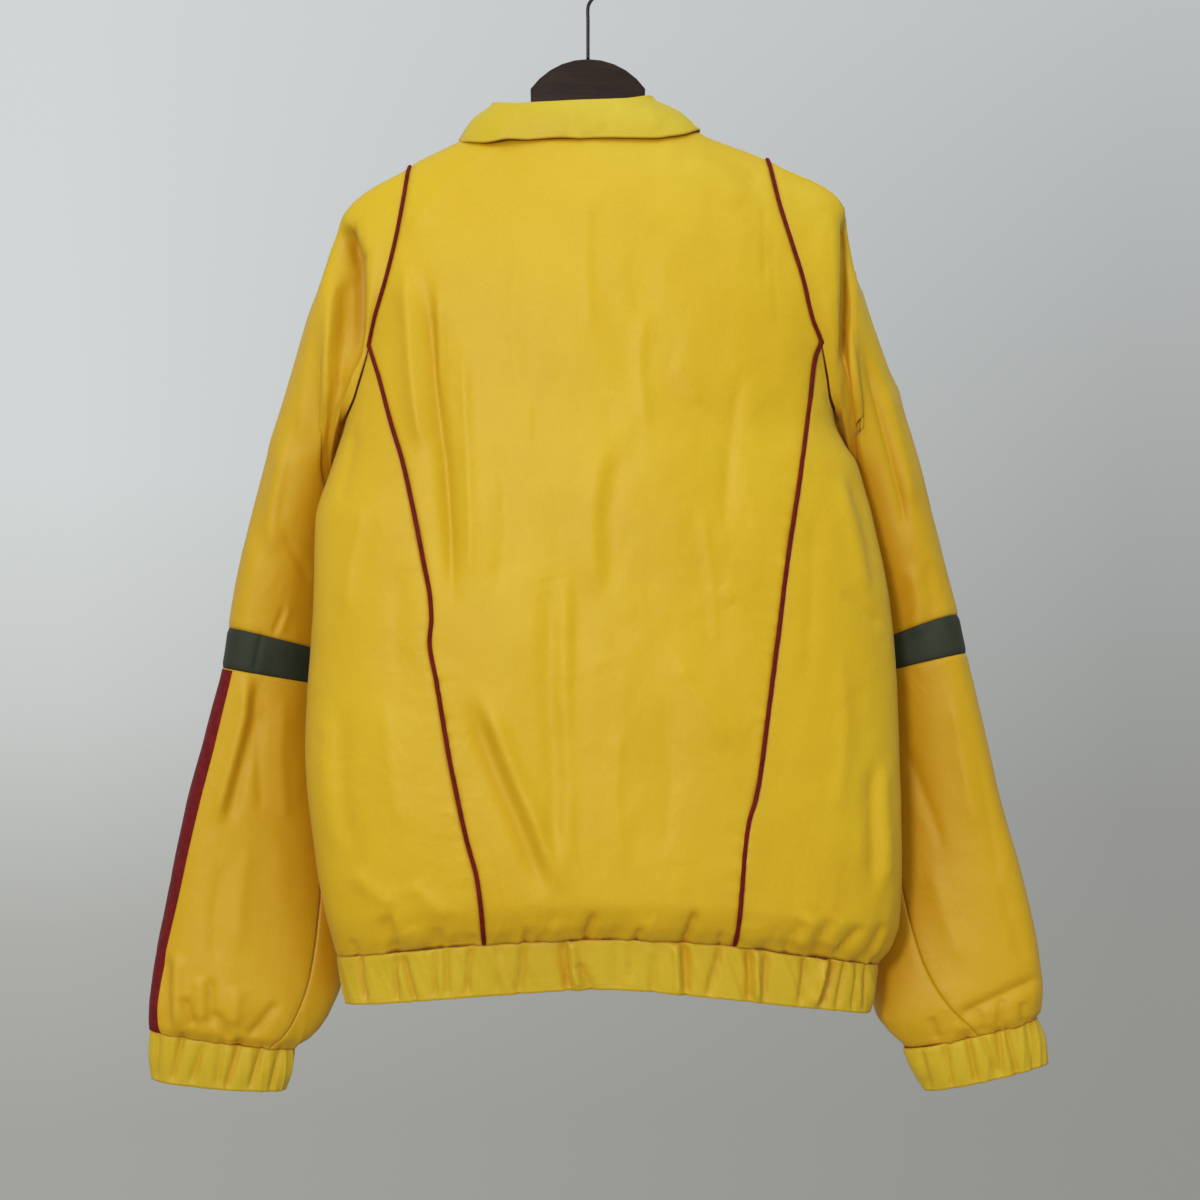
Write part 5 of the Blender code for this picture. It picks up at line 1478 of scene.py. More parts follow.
def make_sleeves(mat, inner, dark, doubled):
    for hand, tag in ((-1, "L"), (1, "R")):
        u = np.linspace(0, 1, 181)[:-1]
        v = np.concatenate([np.linspace(0, 1, 7)[:-1], np.linspace(1, 1.25, 7)[:-1],
                            np.linspace(1.25, 7, 96)])
        p = sleeve(hand, u, v)
        eased = blur(p, 8, True)
        part = np.exp(-(((u - 0.42) / 0.05) ** 2))[None, :] * np.exp(-(((v - 1.25) / 0.55) ** 2))[:, None]
        p = p + (eased - p) * part[..., None]
        n = cyclic_normal(p, hand, v)
        n = blur(n, 2, True)
        n /= np.linalg.norm(n, axis=-1, keepdims=True)
        from_arm = np.concatenate([np.zeros((1, len(u))), np.cumsum(
            np.linalg.norm(np.diff(p, axis=0), axis=-1), 0)])
        to_band = from_arm[-1:] - from_arm
        lift = sleeve_lift(p, n, hand) * soft((from_arm - 4) / 22)
        lift += pucker(to_band, p[..., 0], 0.35, 5.0, 8, 101) + seam_dip(to_band)
        ob = shell(f"cloth_sleeve_upper_{tag}", p + n * CLOTH / 2, n, CLOTH, mat, lift, True, inner)
        dress(ob, to_band, p[..., 0], 0)
        piece(ob, [f"sleeve_upper_{tag}"])
        web = underarm(hand)
        facing = grid_normal(web)
        facing = facing * -np.sign(facing[..., 1:2])
        # the cloth under the arm takes the deeper inside yellow, painted shade
        ob = shell(f"cloth_underarm_{tag}", web, facing, CLOTH, inner)
        dress(ob, np.full(web.shape[:2], 50.0), web[..., 2], 0)
        piece(ob, [f"sleeve_upper_{tag}"])
        v = np.linspace(7, 8, 22)
        p = sleeve(hand, u, v)
        n = cyclic_normal(p, hand, v)
        _, s, t = edge_distance(p, "tb")
        d = np.minimum(t, t[-1:] - t)
        lift = sleeve_lift(p, n, hand) + seam_dip(d) + 0.25 * soft(d / 4)
        ob = shell(f"cloth_sleeve_band_{tag}", p + n * CLOTH / 2, n, CLOTH, dark, lift, True)
        dress(ob, d, s, 0)
        piece(ob, [f"sleeve_band_{tag}"])
        v = np.linspace(8, 14, 110)
        a, b = UNDER_SEAM[hand].at("back", v), UNDER_SEAM[hand].at("front", v)
        whole, facing = fine_sleeve(hand, v)
        for part, lo, hi, count, flat, area in (
            ("outer", b - 1, a, 110, (0.26, 0.34), 0.078), ("under", a, b, 44, (0.10, 0.31), 0.0235),
        ):
            k = np.linspace(0, 1, count)
            turns = lo[:, None] + (hi - lo)[:, None] * k
            p, n = at_turns(whole, turns), at_turns(facing, turns)
            _, s, t = edge_distance(p)
            d, along = nearest_edge([(s, t), (s[:, -1:] - s, t), (t, s), (t[-1:] - t, s)])
            lift = sleeve_lift(p, n, hand) + seam_dip(d, 0.7)
            lift += pucker(np.minimum(s, s[:, -1:] - s), t, 0.7, 6.5, 10, 105 + hand)
            lift += pucker(t, s, 0.3, 5.5, 8, 107)
            cuff = np.maximum(t[-1:] - t, 0)
            turn = p[..., 0] + 1.1 * p[..., 1]
            lift += 2.2 * np.exp(-((cuff / 34) ** 1.2)) * pleats(turn / 12, 109)
            ob = shell(f"cloth_sleeve_{part}_{tag}", p + n * CLOTH / 2, n, CLOTH, mat, lift, skin=inner)
            dress(ob, d, along, 0)
            piece(ob, [f"sleeve_{part}_{tag}"])
        u = np.linspace(0, 1, 241)[:-1]
        v = np.linspace(14, 15, 20)
        p = sleeve(hand, u, v)
        n = cyclic_normal(p, hand, v)
        _, s, t = edge_distance(p, "tb")
        turn = p[..., 0] + 1.1 * p[..., 1]
        mid = np.sin(math.pi * (v - 14))[:, None]
        lift = sleeve_lift(p, n, hand) + 1.4 * pleats(turn / 8.0, 111) + 0.5 * pleats(turn / 3.6, 113)
        lift += 0.5 * mid + seam_dip(t, 0.9, 2.2)
        ob = shell(f"cloth_cuff_{tag}", p + n * BAND / 2, n, BAND, doubled, lift, True)
        dress(ob, t[-1:] - t, s, 0)
        piece(ob, [f"cuff_{tag}"])


def make_collar(mat):
    turn = np.linspace(-COLLAR_GAP, COLLAR_GAP, 260)
    t_ = np.concatenate([np.linspace(0, 0.9, 12), np.linspace(0.9, 1.1, 13)[1:], np.linspace(1.1, 2, 18)[1:]])
    p = collar(turn, t_)
    px = in_frame(p)[..., 0]
    level = 5.0 * np.exp(-(((px - 503) / 20) ** 2)) - 3.5 * np.exp(-(((px - 458) / 9) ** 2))
    p[..., 2] += level * soft(t_ - 1)[:, None] * (p[..., 1] < 0)
    n = normals_of(p)
    mid = np.array([COLLAR_MID_FOLD, 5.0, -150.0])
    if np.mean(np.sum(n[-1] * (p[-1] - mid), axis=1)) < 0:
        n = -n
    _, s, t = edge_distance(p)
    fall = soft((t_ - 1.0) / 0.3)[:, None]
    lift = creases(p, COLLAR_FOLDS) * fall * 1.2
    lift += fall * (0.28 * waves(s / 26, t / 22, 121, 2))
    lift += 0.55 * fall * soft((t_ - 1.2) / 0.4)[:, None] * soft((2 - t_) / 0.25)[:, None]
    ob = shell("cloth_collar", p + n * CLOTH / 2, n, CLOTH, mat, lift)
    dress(ob, np.where(t_[:, None] > 1.2, t[-1:] - t, 50), s, 0)
    piece(ob, ["collar"])


# ------------------------------------------------------------------------- trim
def bead(name, p, n, half_w, half_t, mat, sides=14, taper=0.0):
    """A rounded cord along points p with normals n."""
    along = np.gradient(p, axis=0)
    across = np.cross(along, n)
    across /= np.linalg.norm(across, axis=1, keepdims=True)
    up = np.cross(across, along)
    up /= np.linalg.norm(up, axis=1, keepdims=True)
    a = 2 * math.pi * (np.arange(sides) + 0.5) / sides
    size = np.ones(len(p))
    if taper:
        run = np.concatenate([[0], np.cumsum(np.linalg.norm(np.diff(p, axis=0), axis=1))])
        size = 0.25 + 0.75 * soft(np.minimum(run, run[-1] - run) / taper)
    ring = p[:, None] + across[:, None] * (half_w * np.cos(a))[None, :, None] * size[:, None, None]
    ring = ring + up[:, None] * (half_t * np.sin(a))[None, :, None] * size[:, None, None]
    idx = np.arange(len(p) * sides).reshape(len(p), sides)
    nxt = np.roll(idx, -1, 1)
    quads = np.stack([idx[:-1], nxt[:-1], nxt[1:], idx[1:]], -1).reshape(-1, 4).tolist()
    quads.append(idx[0, ::-1].tolist())
    quads.append(idx[-1].tolist())
    run = np.concatenate([[0], np.cumsum(np.linalg.norm(np.diff(p, axis=0), axis=1))]) / 1000
    uv = np.stack(np.meshgrid(a / (2 * math.pi) * 0.01, run), -1).reshape(-1, 2)
    return mesh_object(name, ring.reshape(-1, 3), quads, mat, uv)


def make_trim(red, stripe_mat):
    for hand, tag in ((-1, "L"), (1, "R")):
        back = np.linspace(0.757, 0, 150)
        fore = np.linspace(0, 0.6, 100)[1:]
        pb, pf = armhole(hand, -1, back), armhole(hand, 1, fore)
        p = np.concatenate([pb, pf])
        w = np.concatenate([back, fore])
        isb = np.concatenate([np.ones(len(back), bool), np.zeros(len(fore), bool)])
        n = np.where(isb[:, None], torso_normal(p[:, 0], p[:, 2], -1), torso_normal(p[:, 0], p[:, 2], 1))
        out = np.zeros_like(n)
        out[:, 0] = hand
        n = n + 0.35 * out
        n = blur(n[:, None, :].repeat(3, 1).transpose(0, 1, 2), 12)[:, 1]
        n /= np.linalg.norm(n, axis=1, keepdims=True)
        run = np.concatenate([[0], np.cumsum(np.linalg.norm(np.diff(p, axis=0), axis=1))])
        wob = 0.12 * noise2(run / 9, 0 * run + 0.5, 131 + hand)
        q = p + n * (1.15 + wob)[:, None]
        ob = bead(f"cord_arm_{tag}", q, n, 1.75, 1.25, red)
        piece(ob, [f"piping_arm_{tag}"])
        x, z = seam_rows(hand, "piped", -1, 260).T
        p, n = torso(x, z, -1), torso_normal(x, z, -1)
        run = np.concatenate([[0], np.cumsum(np.linalg.norm(np.diff(p, axis=0), axis=1))])
        py = in_frame(p)[..., 1]
        wavy = 0.28 * noise2(run / 7, 0 * run + 0.5, 141 + hand)
        tang = np.gradient(p, axis=0)
        side_ = np.cross(tang, n)
        side_ /= np.linalg.norm(side_, axis=1, keepdims=True)
        q = p + n * (1.1 + 0.35 * wavy)[:, None] + side_ * (0.5 * wavy)[:, None]
        q, n = q[1:], n[1:]
        tip = (q[-1] - q[-2]) / np.linalg.norm(q[-1] - q[-2])
        q[-1] += tip * 1.5
        ob = bead(f"cord_back_{tag}", q, n, 1.75, 1.25, red)
        piece(ob, [f"piping_back_{tag}"])
    v = np.linspace(8.02, 13.98, 200)
    lo, hi = STRIPE.at("inner", v), STRIPE.at("outer", v)
    k = 25
    whole, facing = fine_sleeve(-1, v)
    near = np.concatenate([whole[:, -61:-1], whole[:, :150]], axis=1)
    step = np.linalg.norm(np.diff(near, axis=1), axis=2)
    run = np.concatenate([np.zeros((len(v), 1)), np.cumsum(step, axis=1)], axis=1)
    run -= run[:, 60:61]
    turns = np.stack([np.interp(np.linspace(lo[i], hi[i], k), run[i], np.arange(-60, 150) / 720)
                      for i in range(len(v))])
    p, n = at_turns(whole, turns), at_turns(facing, turns)
    lift = sleeve_lift(p, n, -1)
    across = np.linspace(-1, 1, k)[None, :]
    s = arc(p, 0)[:, None]
    lift = lift + 0.75 - 0.35 * across**4 + 0.12 * noise2(s / 8 + 0 * across, across * 1.5 + 0 * s, 151)
    ob = shell("cloth_stripe_L", p + n * CLOTH / 2, n, 1.0, stripe_mat, lift)
    dress(ob, 4 * (1 - np.abs(across)) + 0 * s, s + 0 * across, 0)
    piece(ob, ["stripe_L"])


def slab(lo, hi, base):
    (x0, y0, z0), (x1, y1, z1) = lo, hi
    v = [(x0, y0, z0), (x1, y0, z0), (x1, y1, z0), (x0, y1, z0),
         (x0, y0, z1), (x1, y0, z1), (x1, y1, z1), (x0, y1, z1)]
    f = [(0, 3, 2, 1), (4, 5, 6, 7), (0, 1, 5, 4), (1, 2, 6, 5), (2, 3, 7, 6), (3, 0, 4, 7)]
    return v, [tuple(i + base for i in q) for q in f]


def make_zip(tape, teeth_mat):
    z = np.linspace(float(hem_z(18.0, "edge", 1)), float(neck_z(-13.0, 1)) + 1.0, 300)
    x = ZIP.at("x", z)
    across = np.linspace(-ZIP_HALF, ZIP_HALF, 13)
    p = torso(x[:, None] + across[None, :], z[:, None] + 0 * across[None, :], 1)
    n = torso_normal(p[..., 0], p[..., 2], 1)
    ob = shell("zip_tape", p + n * 0.5, n, 1.2, tape, 0 * p[..., 0])
    piece(ob, ["zip"])
    verts, faces = [], []
    run = np.concatenate([[0], np.cumsum(np.linalg.norm(np.diff(p[:, 6], axis=0), axis=1))])
    for k, at in enumerate(np.arange(6, run[-1] - 4, 1.5)):
        c = np.array([np.interp(at, run, p[:, 6, i]) for i in range(3)])
        m = np.array([np.interp(at, run, n[:, 6, i]) for i in range(3)])
        m /= np.linalg.norm(m)
        up = np.cross(m, [1.0, 0, 0])
        up /= np.linalg.norm(up)
        side_ = np.cross(up, m)
        x0, x1 = (-2.0, 0.7) if k % 2 else (-0.7, 2.0)
        v, f = slab((x0, 0.3, -0.55), (x1, 1.5, 0.55), len(verts))
        verts += [tuple(c + side_ * a * (1 if side_[0] > 0 else -1) + m * b + up * d) for a, b, d in v]
        faces += f
    ob = mesh_object("zip_teeth", verts, faces, teeth_mat, smooth=False)
    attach(ob, BODY)


def make_hanger(wood, wire):
    pts = np.array(hanger_outline(), float)
    count = len(pts)
    d = np.roll(pts, -1, 0) - np.roll(pts, 1, 0)
    d /= np.linalg.norm(d, axis=1, keepdims=True)
    inward = np.stack([d[:, 1], -d[:, 0]], -1)
    thin = HANGER_HALF - 2.5 * np.clip((np.abs(pts[:, 0]) - 110) / 80, 0, 1)
    rings = []
    for a in np.linspace(-90, 90, 15):
        t = math.radians(a)
        y = np.sign(math.sin(t)) * abs(math.sin(t)) ** 0.8
        by = 2.4 * (1 - abs(math.cos(t)) ** 0.7)
        q = pts + inward * by
        rings.append(np.stack([q[:, 0], y * thin, q[:, 1]], -1))
    v = np.concatenate(rings)
    faces = []
    for k in range(len(rings) - 1):
        for i in range(count):
            j = (i + 1) % count
            faces.append([k * count + i, k * count + j, (k + 1) * count + j, (k + 1) * count + i])
    faces.append(list(range(count))[::-1])
    faces.append([(len(rings) - 1) * count + i for i in range(count)])
    ob = mesh_object("wood_hanger", v, faces, wood)
    for f in ob.data.polygons[-2:]:
        f.use_smooth = False
    piece(ob, ["hanger"])
    path = [(0, -96.1), (0, -80), (0, -64), (0, -53), (2.6, -46.8), (8.4, -41), (13.8, -34.2)]
    mid_z = WIRE_R - HOOK_R
    for a in range(-22, 204, 12):
        t = math.radians(a)
        path.append((HOOK_R * math.cos(t), mid_z + HOOK_R * math.sin(t)))
    p = np.array(path, float)
    fine = []
    for i in range(len(p) - 1):
        a, b, c, d = p[max(i - 1, 0)], p[i], p[i + 1], p[min(i + 2, len(p) - 1)]
        for t in np.linspace(0, 1, 7)[:-1]:
            fine.append(0.5 * (2 * b + (c - a) * t + (2 * a - 5 * b + 4 * c - d) * t**2
                               + (3 * b - a - 3 * c + d) * t**3))
    fine.append(p[-1])
    q = np.array([(x, 0, z) for x, z in fine])
    ob = bead("wire_hook", q, np.tile([0.0, -1.0, 0.0], (len(q), 1)), WIRE_R, WIRE_R, wire, 20)
    piece(ob, ["hook"])


# -------------------------------------------------------------------- materials
class Nodes:
    def __init__(self, name):
        self.mat = bpy.data.materials.new(name)
        self.mat.use_nodes = True
        self.tree = self.mat.node_tree
        self.shader = next(n for n in self.tree.nodes if n.type == "BSDF_PRINCIPLED")

    def add(self, kind, **values):
        node = self.tree.nodes.new(kind)
        for k, v in values.items():
            if k.startswith("in_"):
                key = k[3:]
                node.inputs[int(key) if key.isdigit() else key.replace("_", " ")].default_value = v
            else:
                setattr(node, k, v)
        return node

    def wire(self, a, b):
        self.tree.links.new(a, b)

    def math(self, op, a, b=None, clamp=False):
        node = self.add("ShaderNodeMath", operation=op, use_clamp=clamp)
        for i, v in enumerate((a, b)):
            if v is None:
                continue
            if isinstance(v, (int, float)):
                node.inputs[i].default_value = v
            else:
                self.wire(v, node.inputs[i])
        return node.outputs[0]

    def mix(self, fac, a, b, blend="MIX"):
        node = self.add("ShaderNodeMixRGB", blend_type=blend)
        for i, v in enumerate((fac, a, b)):
            if isinstance(v, (int, float)):
                node.inputs[i].default_value = v
            elif isinstance(v, tuple):
                node.inputs[i].default_value = (*v, 1)
            else:
                self.wire(v, node.inputs[i])
        return node.outputs[0]

    def put(self, **values):
        for k, v in values.items():
            self.shader.inputs[k.replace("_", " ")].default_value = v


def lin(r, g, b):
    f = lambda c: c / 12.92 if c <= 0.04045 else ((c + 0.055) / 1.055) ** 2.4
    return tuple(f(c / 255) for c in (r, g, b))


def cloth_material(name, base, low, rough=0.46, sheen=0.12, weave=0.00045, glow=0.0,
                   stitch_at=0.0045, stitch=(0.5, 0.34, 0.03), bump=0.35, spec=0.3, near=None, under=None):
    m = Nodes(name)
    co = m.add("ShaderNodeTexCoord")
    obj, uv = co.outputs["Object"], co.outputs["UV"]
    # colour: slow fading and a thready fleck
    slow = m.add("ShaderNodeTexNoise", in_Scale=9.0, in_Detail=3.0, in_Roughness=0.55)
    m.wire(obj, slow.inputs["Vector"])
    ramp = m.add("ShaderNodeMapRange", in_1=0.3, in_2=0.7, in_3=0.0, in_4=1.0)
    m.wire(slow.outputs[0], ramp.inputs[0])
    col = m.mix(ramp.outputs[0], base, low)
    if under:
        # the arms hang in their own shade: deeper towards the cuffs
        place = m.add("ShaderNodeSeparateXYZ")
        m.wire(obj, place.inputs[0])
        drop = m.add("ShaderNodeMapRange", in_1=-0.24, in_2=-0.46, in_3=0.0, in_4=1.0)
        m.wire(place.outputs[2], drop.inputs[0])
        col = m.mix(drop.outputs[0], col, under)
    fleck = m.add("ShaderNodeTexNoise", in_Scale=420.0, in_Detail=2.0)
    m.wire(obj, fleck.inputs["Vector"])
    tone = m.add("ShaderNodeMapRange", in_1=0.3, in_2=0.7, in_3=0.975, in_4=1.02)
    m.wire(fleck.outputs[0], tone.inputs[0])
    shade = m.add("ShaderNodeCombineXYZ")
    for i in range(3):
        m.wire(tone.outputs[0], shade.inputs[i])
    col = m.mix(1.0, col, shade.outputs[0], "MULTIPLY")
    if near:
        # light between close folds comes off the cloth itself, so it's deeper and redder
        close = m.add("ShaderNodeAmbientOcclusion")
        close.samples = 3
        close.inputs["Distance"].default_value = 0.11
        part = m.add("ShaderNodeMapRange", in_1=0.25, in_2=0.92, in_3=0.8, in_4=0.0)
        m.wire(close.outputs["AO"], part.inputs[0])
        col = m.mix(part.outputs[0], col, near)
    # weave: warp and weft threads in the cloth's own metres
    sep = m.add("ShaderNodeSeparateXYZ")
    m.wire(uv, sep.inputs[0])
    warp = m.math("SINE", m.math("MULTIPLY", sep.outputs[0], 2 * math.pi / weave))
    weft = m.math("SINE", m.math("MULTIPLY", sep.outputs[1], 2 * math.pi / weave))
    cross = m.math("MULTIPLY", warp, weft)
    crumple = m.add("ShaderNodeTexNoise", in_Scale=64.0, in_Detail=3.0, in_Roughness=0.5, in_Distortion=0.4)
    m.wire(obj, crumple.inputs["Vector"])
    big = m.add("ShaderNodeTexNoise", in_Scale=17.0, in_Detail=3.0, in_Roughness=0.5, in_Distortion=0.8)
    m.wire(obj, big.inputs["Vector"])
    high = m.math("ADD", m.math("MULTIPLY", cross, 0.00004),
                  m.math("ADD", m.math("MULTIPLY", crumple.outputs[0], 0.0008),
                         m.math("MULTIPLY", big.outputs[0], 0.0055)))
    if stitch_at:
        # a row of stitches beside the seam
        d = m.add("ShaderNodeAttribute", attribute_name="seam_d")
        s = m.add("ShaderNodeAttribute", attribute_name="seam_s")
        away = m.math("ABSOLUTE", m.math("SUBTRACT", d.outputs["Fac"], stitch_at))
        line = m.math("SUBTRACT", 1.0, m.math("DIVIDE", away, 0.00065), True)
        dash = m.math("GREATER_THAN", m.math("SINE", m.math("MULTIPLY", s.outputs["Fac"], 2 * math.pi / 0.003)), -0.35)
        thread = m.math("MULTIPLY", line, dash)
        col = m.mix(m.math("MULTIPLY", thread, 0.75, True), col, stitch)
        high = m.math("ADD", high, m.math("MULTIPLY", thread, 0.00025))
        high = m.math("SUBTRACT", high, m.math("MULTIPLY", line, 0.0002))
    b = m.add("ShaderNodeBump", in_Strength=bump, in_Distance=1.0)
    m.wire(high, b.inputs["Height"])
    m.wire(b.outputs[0], m.shader.inputs["Normal"])
    m.wire(col, m.shader.inputs["Base Color"])
    m.put(Roughness=rough)
    m.shader.inputs["Specular IOR Level"].default_value = spec
    m.shader.inputs["Sheen Weight"].default_value = sheen
    m.shader.inputs["Sheen Roughness"].default_value = 0.45
    m.shader.inputs["Sheen Tint"].default_value = (1.0, 0.93, 0.7, 1)
    if glow:
        # thin cloth: some light comes through it
        out = next(n for n in m.tree.nodes if n.type == "OUTPUT_MATERIAL")
        thru = m.add("ShaderNodeBsdfTranslucent")
        m.wire(col, thru.inputs["Color"])
        m.wire(b.outputs[0], thru.inputs["Normal"])
        both = m.add("ShaderNodeMixShader", in_0=glow)
        m.wire(m.shader.outputs[0], both.inputs[1])
        m.wire(thru.outputs[0], both.inputs[2])
        m.wire(both.outputs[0], out.inputs["Surface"])
    return m.mat


def red_material(name, base, dark):
    m = Nodes(name)
    co = m.add("ShaderNodeTexCoord")
    n = m.add("ShaderNodeTexNoise", in_Scale=160.0, in_Detail=3.0)
    m.wire(co.outputs["Object"], n.inputs["Vector"])
    r = m.add("ShaderNodeMapRange", in_1=0.35, in_2=0.65, in_3=0.0, in_4=1.0)
    m.wire(n.outputs[0], r.inputs[0])
    col = m.mix(r.outputs[0], base, dark)
    sep = m.add("ShaderNodeSeparateXYZ")
    m.wire(co.outputs["UV"], sep.inputs[0])
    twill = m.math("SINE", m.math("MULTIPLY", m.math("ADD", sep.outputs[0], sep.outputs[1]), 2 * math.pi / 0.0009))
    high = m.math("ADD", m.math("MULTIPLY", twill, 0.00006), m.math("MULTIPLY", n.outputs[0], 0.0008))
    b = m.add("ShaderNodeBump", in_Strength=0.5, in_Distance=1.0)
    m.wire(high, b.inputs["Height"])
    m.wire(b.outputs[0], m.shader.inputs["Normal"])
    m.wire(col, m.shader.inputs["Base Color"])
    m.put(Roughness=0.66)
    m.shader.inputs["Sheen Weight"].default_value = 0.02
    m.shader.inputs["Specular IOR Level"].default_value = 0.14
    return m.mat


def wood_material(name):
    m = Nodes(name)
    co = m.add("ShaderNodeTexCoord")
    stretch = m.add("ShaderNodeMapping")
    stretch.inputs["Scale"].default_value = (6.0, 60.0, 60.0)
    m.wire(co.outputs["Object"], stretch.inputs["Vector"])
    grain = m.add("ShaderNodeTexNoise", in_Scale=3.0, in_Detail=6.0, in_Roughness=0.6, in_Distortion=0.7)
    m.wire(stretch.outputs[0], grain.inputs["Vector"])
    ramp = m.add("ShaderNodeValToRGB")
    ramp.color_ramp.elements[0].position = 0.32
    ramp.color_ramp.elements[0].color = (*lin(24, 11, 8), 1)
    ramp.color_ramp.elements[1].position = 0.72
    ramp.color_ramp.elements[1].color = (*lin(48, 26, 19), 1)
    m.wire(grain.outputs[0], ramp.inputs[0])
    b = m.add("ShaderNodeBump", in_Strength=0.25, in_Distance=1.0)
    m.wire(m.math("MULTIPLY", grain.outputs[0], 0.0012), b.inputs["Height"])
    m.wire(b.outputs[0], m.shader.inputs["Normal"])
    m.wire(ramp.outputs[0], m.shader.inputs["Base Color"])
    m.put(Roughness=0.36)
    m.shader.inputs["Specular IOR Level"].default_value = 0.13
    return m.mat


def metal_material(name, base, rough, metallic):
    m = Nodes(name)
    co = m.add("ShaderNodeTexCoord")
    n = m.add("ShaderNodeTexNoise", in_Scale=700.0, in_Detail=3.0)
    m.wire(co.outputs["Object"], n.inputs["Vector"])
    r = m.add("ShaderNodeMapRange", in_1=0.2, in_2=0.8, in_3=rough * 0.75, in_4=rough * 1.3)
    m.wire(n.outputs[0], r.inputs[0])
    m.wire(r.outputs[0], m.shader.inputs["Roughness"])
    m.shader.inputs["Base Color"].default_value = (*base, 1)
    m.put(Metallic=metallic)
    b = m.add("ShaderNodeBump", in_Strength=0.1, in_Distance=0.0005)
    m.wire(n.outputs[0], b.inputs["Height"])
    m.wire(b.outputs[0], m.shader.inputs["Normal"])
    return m.mat


SHADE = lin(196, 128, 6)
yellow = cloth_material("yellow_polyester", lin(221, 182, 28), lin(216, 174, 22), glow=0.2, near=SHADE)
sleeves = cloth_material("yellow_sleeve", lin(221, 183, 29), lin(217, 177, 24), glow=0.2, near=SHADE,
                         under=lin(212, 167, 20))
doubled = cloth_material("yellow_doubled", lin(202, 172, 32), lin(194, 162, 26), glow=0.05, near=SHADE)
# painted shade: a deeper yellow for the cloth's inner faces and for the cloth under the arms, which lie in shade
inside = cloth_material("yellow_inside_shade", lin(218, 176, 24), lin(210, 166, 20), stitch_at=0, glow=0.2)
dark = cloth_material("dark_polyester", lin(50, 54, 44), lin(38, 41, 32), stitch_at=0, sheen=0.03, rough=0.55,
                      spec=0.12)
red = red_material("piping_red", lin(108, 14, 12), lin(86, 9, 9))
stripe = red_material("stripe_red", lin(112, 16, 20), lin(94, 11, 15))
tape = cloth_material("zip_tape", lin(34, 33, 32), lin(26, 25, 25), stitch_at=0, sheen=0.05, weave=0.0009)
coil = metal_material("zip_coil", lin(40, 38, 37), 0.35, 0.0)
metal = metal_material("zip_metal", (0.42, 0.40, 0.37), 0.3, 1.0)
wood = wood_material("dark_wood")
wire = metal_material("black_wire", lin(16, 16, 17), 0.22, 0.0)

make_torso(yellow, inside)
make_hem(doubled)
make_sleeves(sleeves, inside, dark, doubled)
make_collar(doubled)
make_trim(red, stripe)
make_zip(tape, coil)
make_hanger(wood, wire)
for ob in bpy.data.objects:
    if ob.type == "MESH" and ob.name.split(".")[0] in ("slider", "pull"):
        ob.data.materials.clear()
        ob.data.materials.append(metal)

# --------------------------------------------------------------- room and light
world = bpy.data.worlds.new("room")
bpy.context.scene.world = world
world.use_nodes = True
tree = world.node_tree
tree.nodes.clear()
co = tree.nodes.new("ShaderNodeTexCoord")
sep = tree.nodes.new("ShaderNodeSeparateXYZ")
tree.links.new(co.outputs["Generated"], sep.inputs[0])
fade = tree.nodes.new("ShaderNodeMapRange")
fade.inputs[1].default_value, fade.inputs[2].default_value = -0.30, 0.26
tree.links.new(sep.outputs[2], fade.inputs[0])


def wall_ramp(low, high, between):
    """The wall's shade from low to high on one side of the room."""
    ramp = tree.nodes.new("ShaderNodeValToRGB")
    ramp.color_ramp.elements[0].position = 0.12
    ramp.color_ramp.elements[0].color = (*lin(*low), 1)
    ramp.color_ramp.elements[1].position = 1.0
    ramp.color_ramp.elements[1].color = (*lin(*high), 1)
    for at, shade in between:
        ramp.color_ramp.elements.new(at).color = (*lin(*shade), 1)
    tree.links.new(fade.outputs[0], ramp.inputs[0])
    return ramp


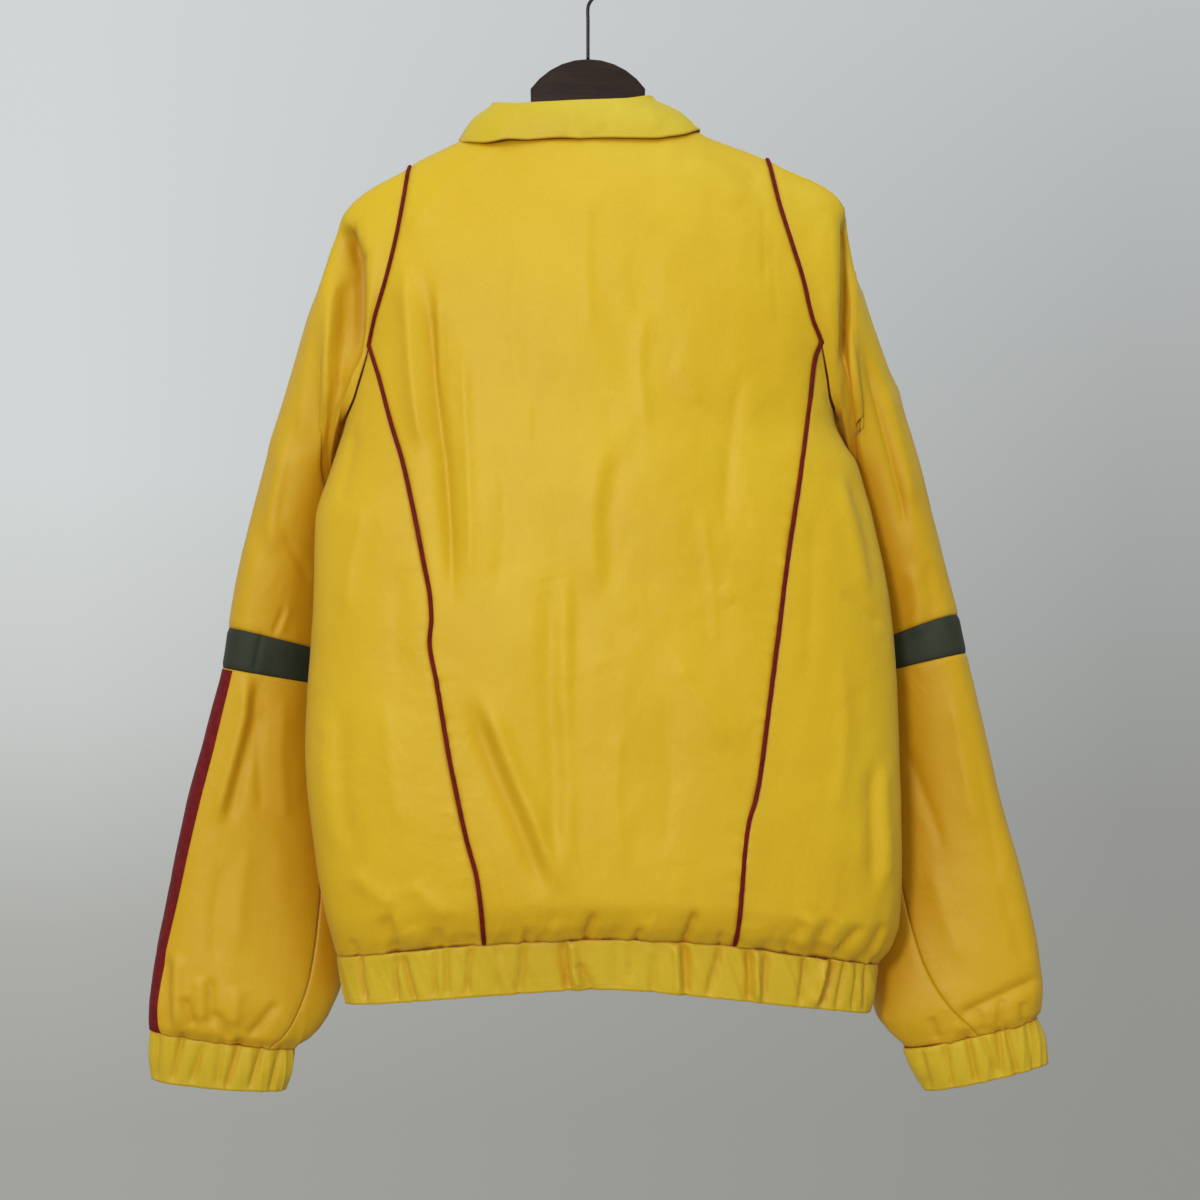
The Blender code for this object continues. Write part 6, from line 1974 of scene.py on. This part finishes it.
bright = wall_ramp((162, 163, 158), (210, 213, 214), ((0.27, (173, 174, 170)), (0.45, (198, 201, 199)), (0.64, (210, 214, 214))))
dim = wall_ramp((146, 147, 142), (188, 191, 192), ((0.36, (149, 150, 147)), (0.62, (165, 168, 167))))
side = tree.nodes.new("ShaderNodeMapRange")
side.inputs[1].default_value, side.inputs[2].default_value = -0.24, 0.24
tree.links.new(sep.outputs[0], side.inputs[0])
both = tree.nodes.new("ShaderNodeMix")
both.data_type = "RGBA"
tree.links.new(side.outputs[0], both.inputs[0])
tree.links.new(bright.outputs[0], both.inputs[6])
tree.links.new(dim.outputs[0], both.inputs[7])
back = tree.nodes.new("ShaderNodeBackground")
tree.links.new(both.outputs[2], back.inputs[0])
out = tree.nodes.new("ShaderNodeOutputWorld")
tree.links.new(back.outputs[0], out.inputs[0])

floor_mesh = bpy.data.meshes.new("floor")
floor_mesh.from_pydata([(-1.6, -1.6, -1.5), (1.6, -1.6, -1.5), (1.6, 1.2, -1.5), (-1.6, 1.2, -1.5)],
                       [], [(0, 1, 2, 3)])
floor = bpy.data.objects.new("floor", floor_mesh)
bpy.context.scene.collection.objects.link(floor)
fm = Nodes("floor_paint")
fm.shader.inputs["Base Color"].default_value = (*lin(150, 147, 140), 1)
fm.put(Roughness=0.8)
floor_mesh.materials.append(fm.mat)


def area_light(name, at, to, size, power, colour=(1, 1, 1)):
    lamp = bpy.data.lights.new(name, "AREA")
    lamp.shape = "RECTANGLE"
    lamp.size, lamp.size_y = size
    lamp.energy = power
    lamp.color = colour
    ob = bpy.data.objects.new(name, lamp)
    ob.location = at
    ob.rotation_euler = (Vector(to) - Vector(at)).to_track_quat("-Z", "Y").to_euler()
    bpy.context.scene.collection.objects.link(ob)
    return ob


area_light("key", (-0.8, -2.7, 0.15), (0, 0, -0.6), (0.45, 0.45), 41, (1.0, 0.985, 0.94))
area_light("top", (0.3, -0.9, 1.3), (0, 0, -0.4), (1.6, 1.2), 17, (0.70, 1.0, 0.86))
area_light("low", (0.5, -1.5, -1.3), (0, 0, -0.7), (1.2, 0.8), 5, (1.0, 0.82, 0.6))
area_light("back", (0.4, 2.2, 0.5), (0, 0, -0.5), (1.6, 1.0), 12)

cam = bpy.data.cameras.new("camera")
cam.sensor_width, cam.lens = 36, 64.29
cam_ob = bpy.data.objects.new("camera", cam)
cam_ob.location = (0.01008, -1.8, -0.5502)
cam_ob.rotation_euler = (math.pi / 2, 0, 0)
bpy.context.scene.collection.objects.link(cam_ob)
bpy.context.scene.camera = cam_ob
view = bpy.context.scene.view_settings
view.view_transform, view.look, view.exposure, view.gamma = "Standard", "None", 0, 1
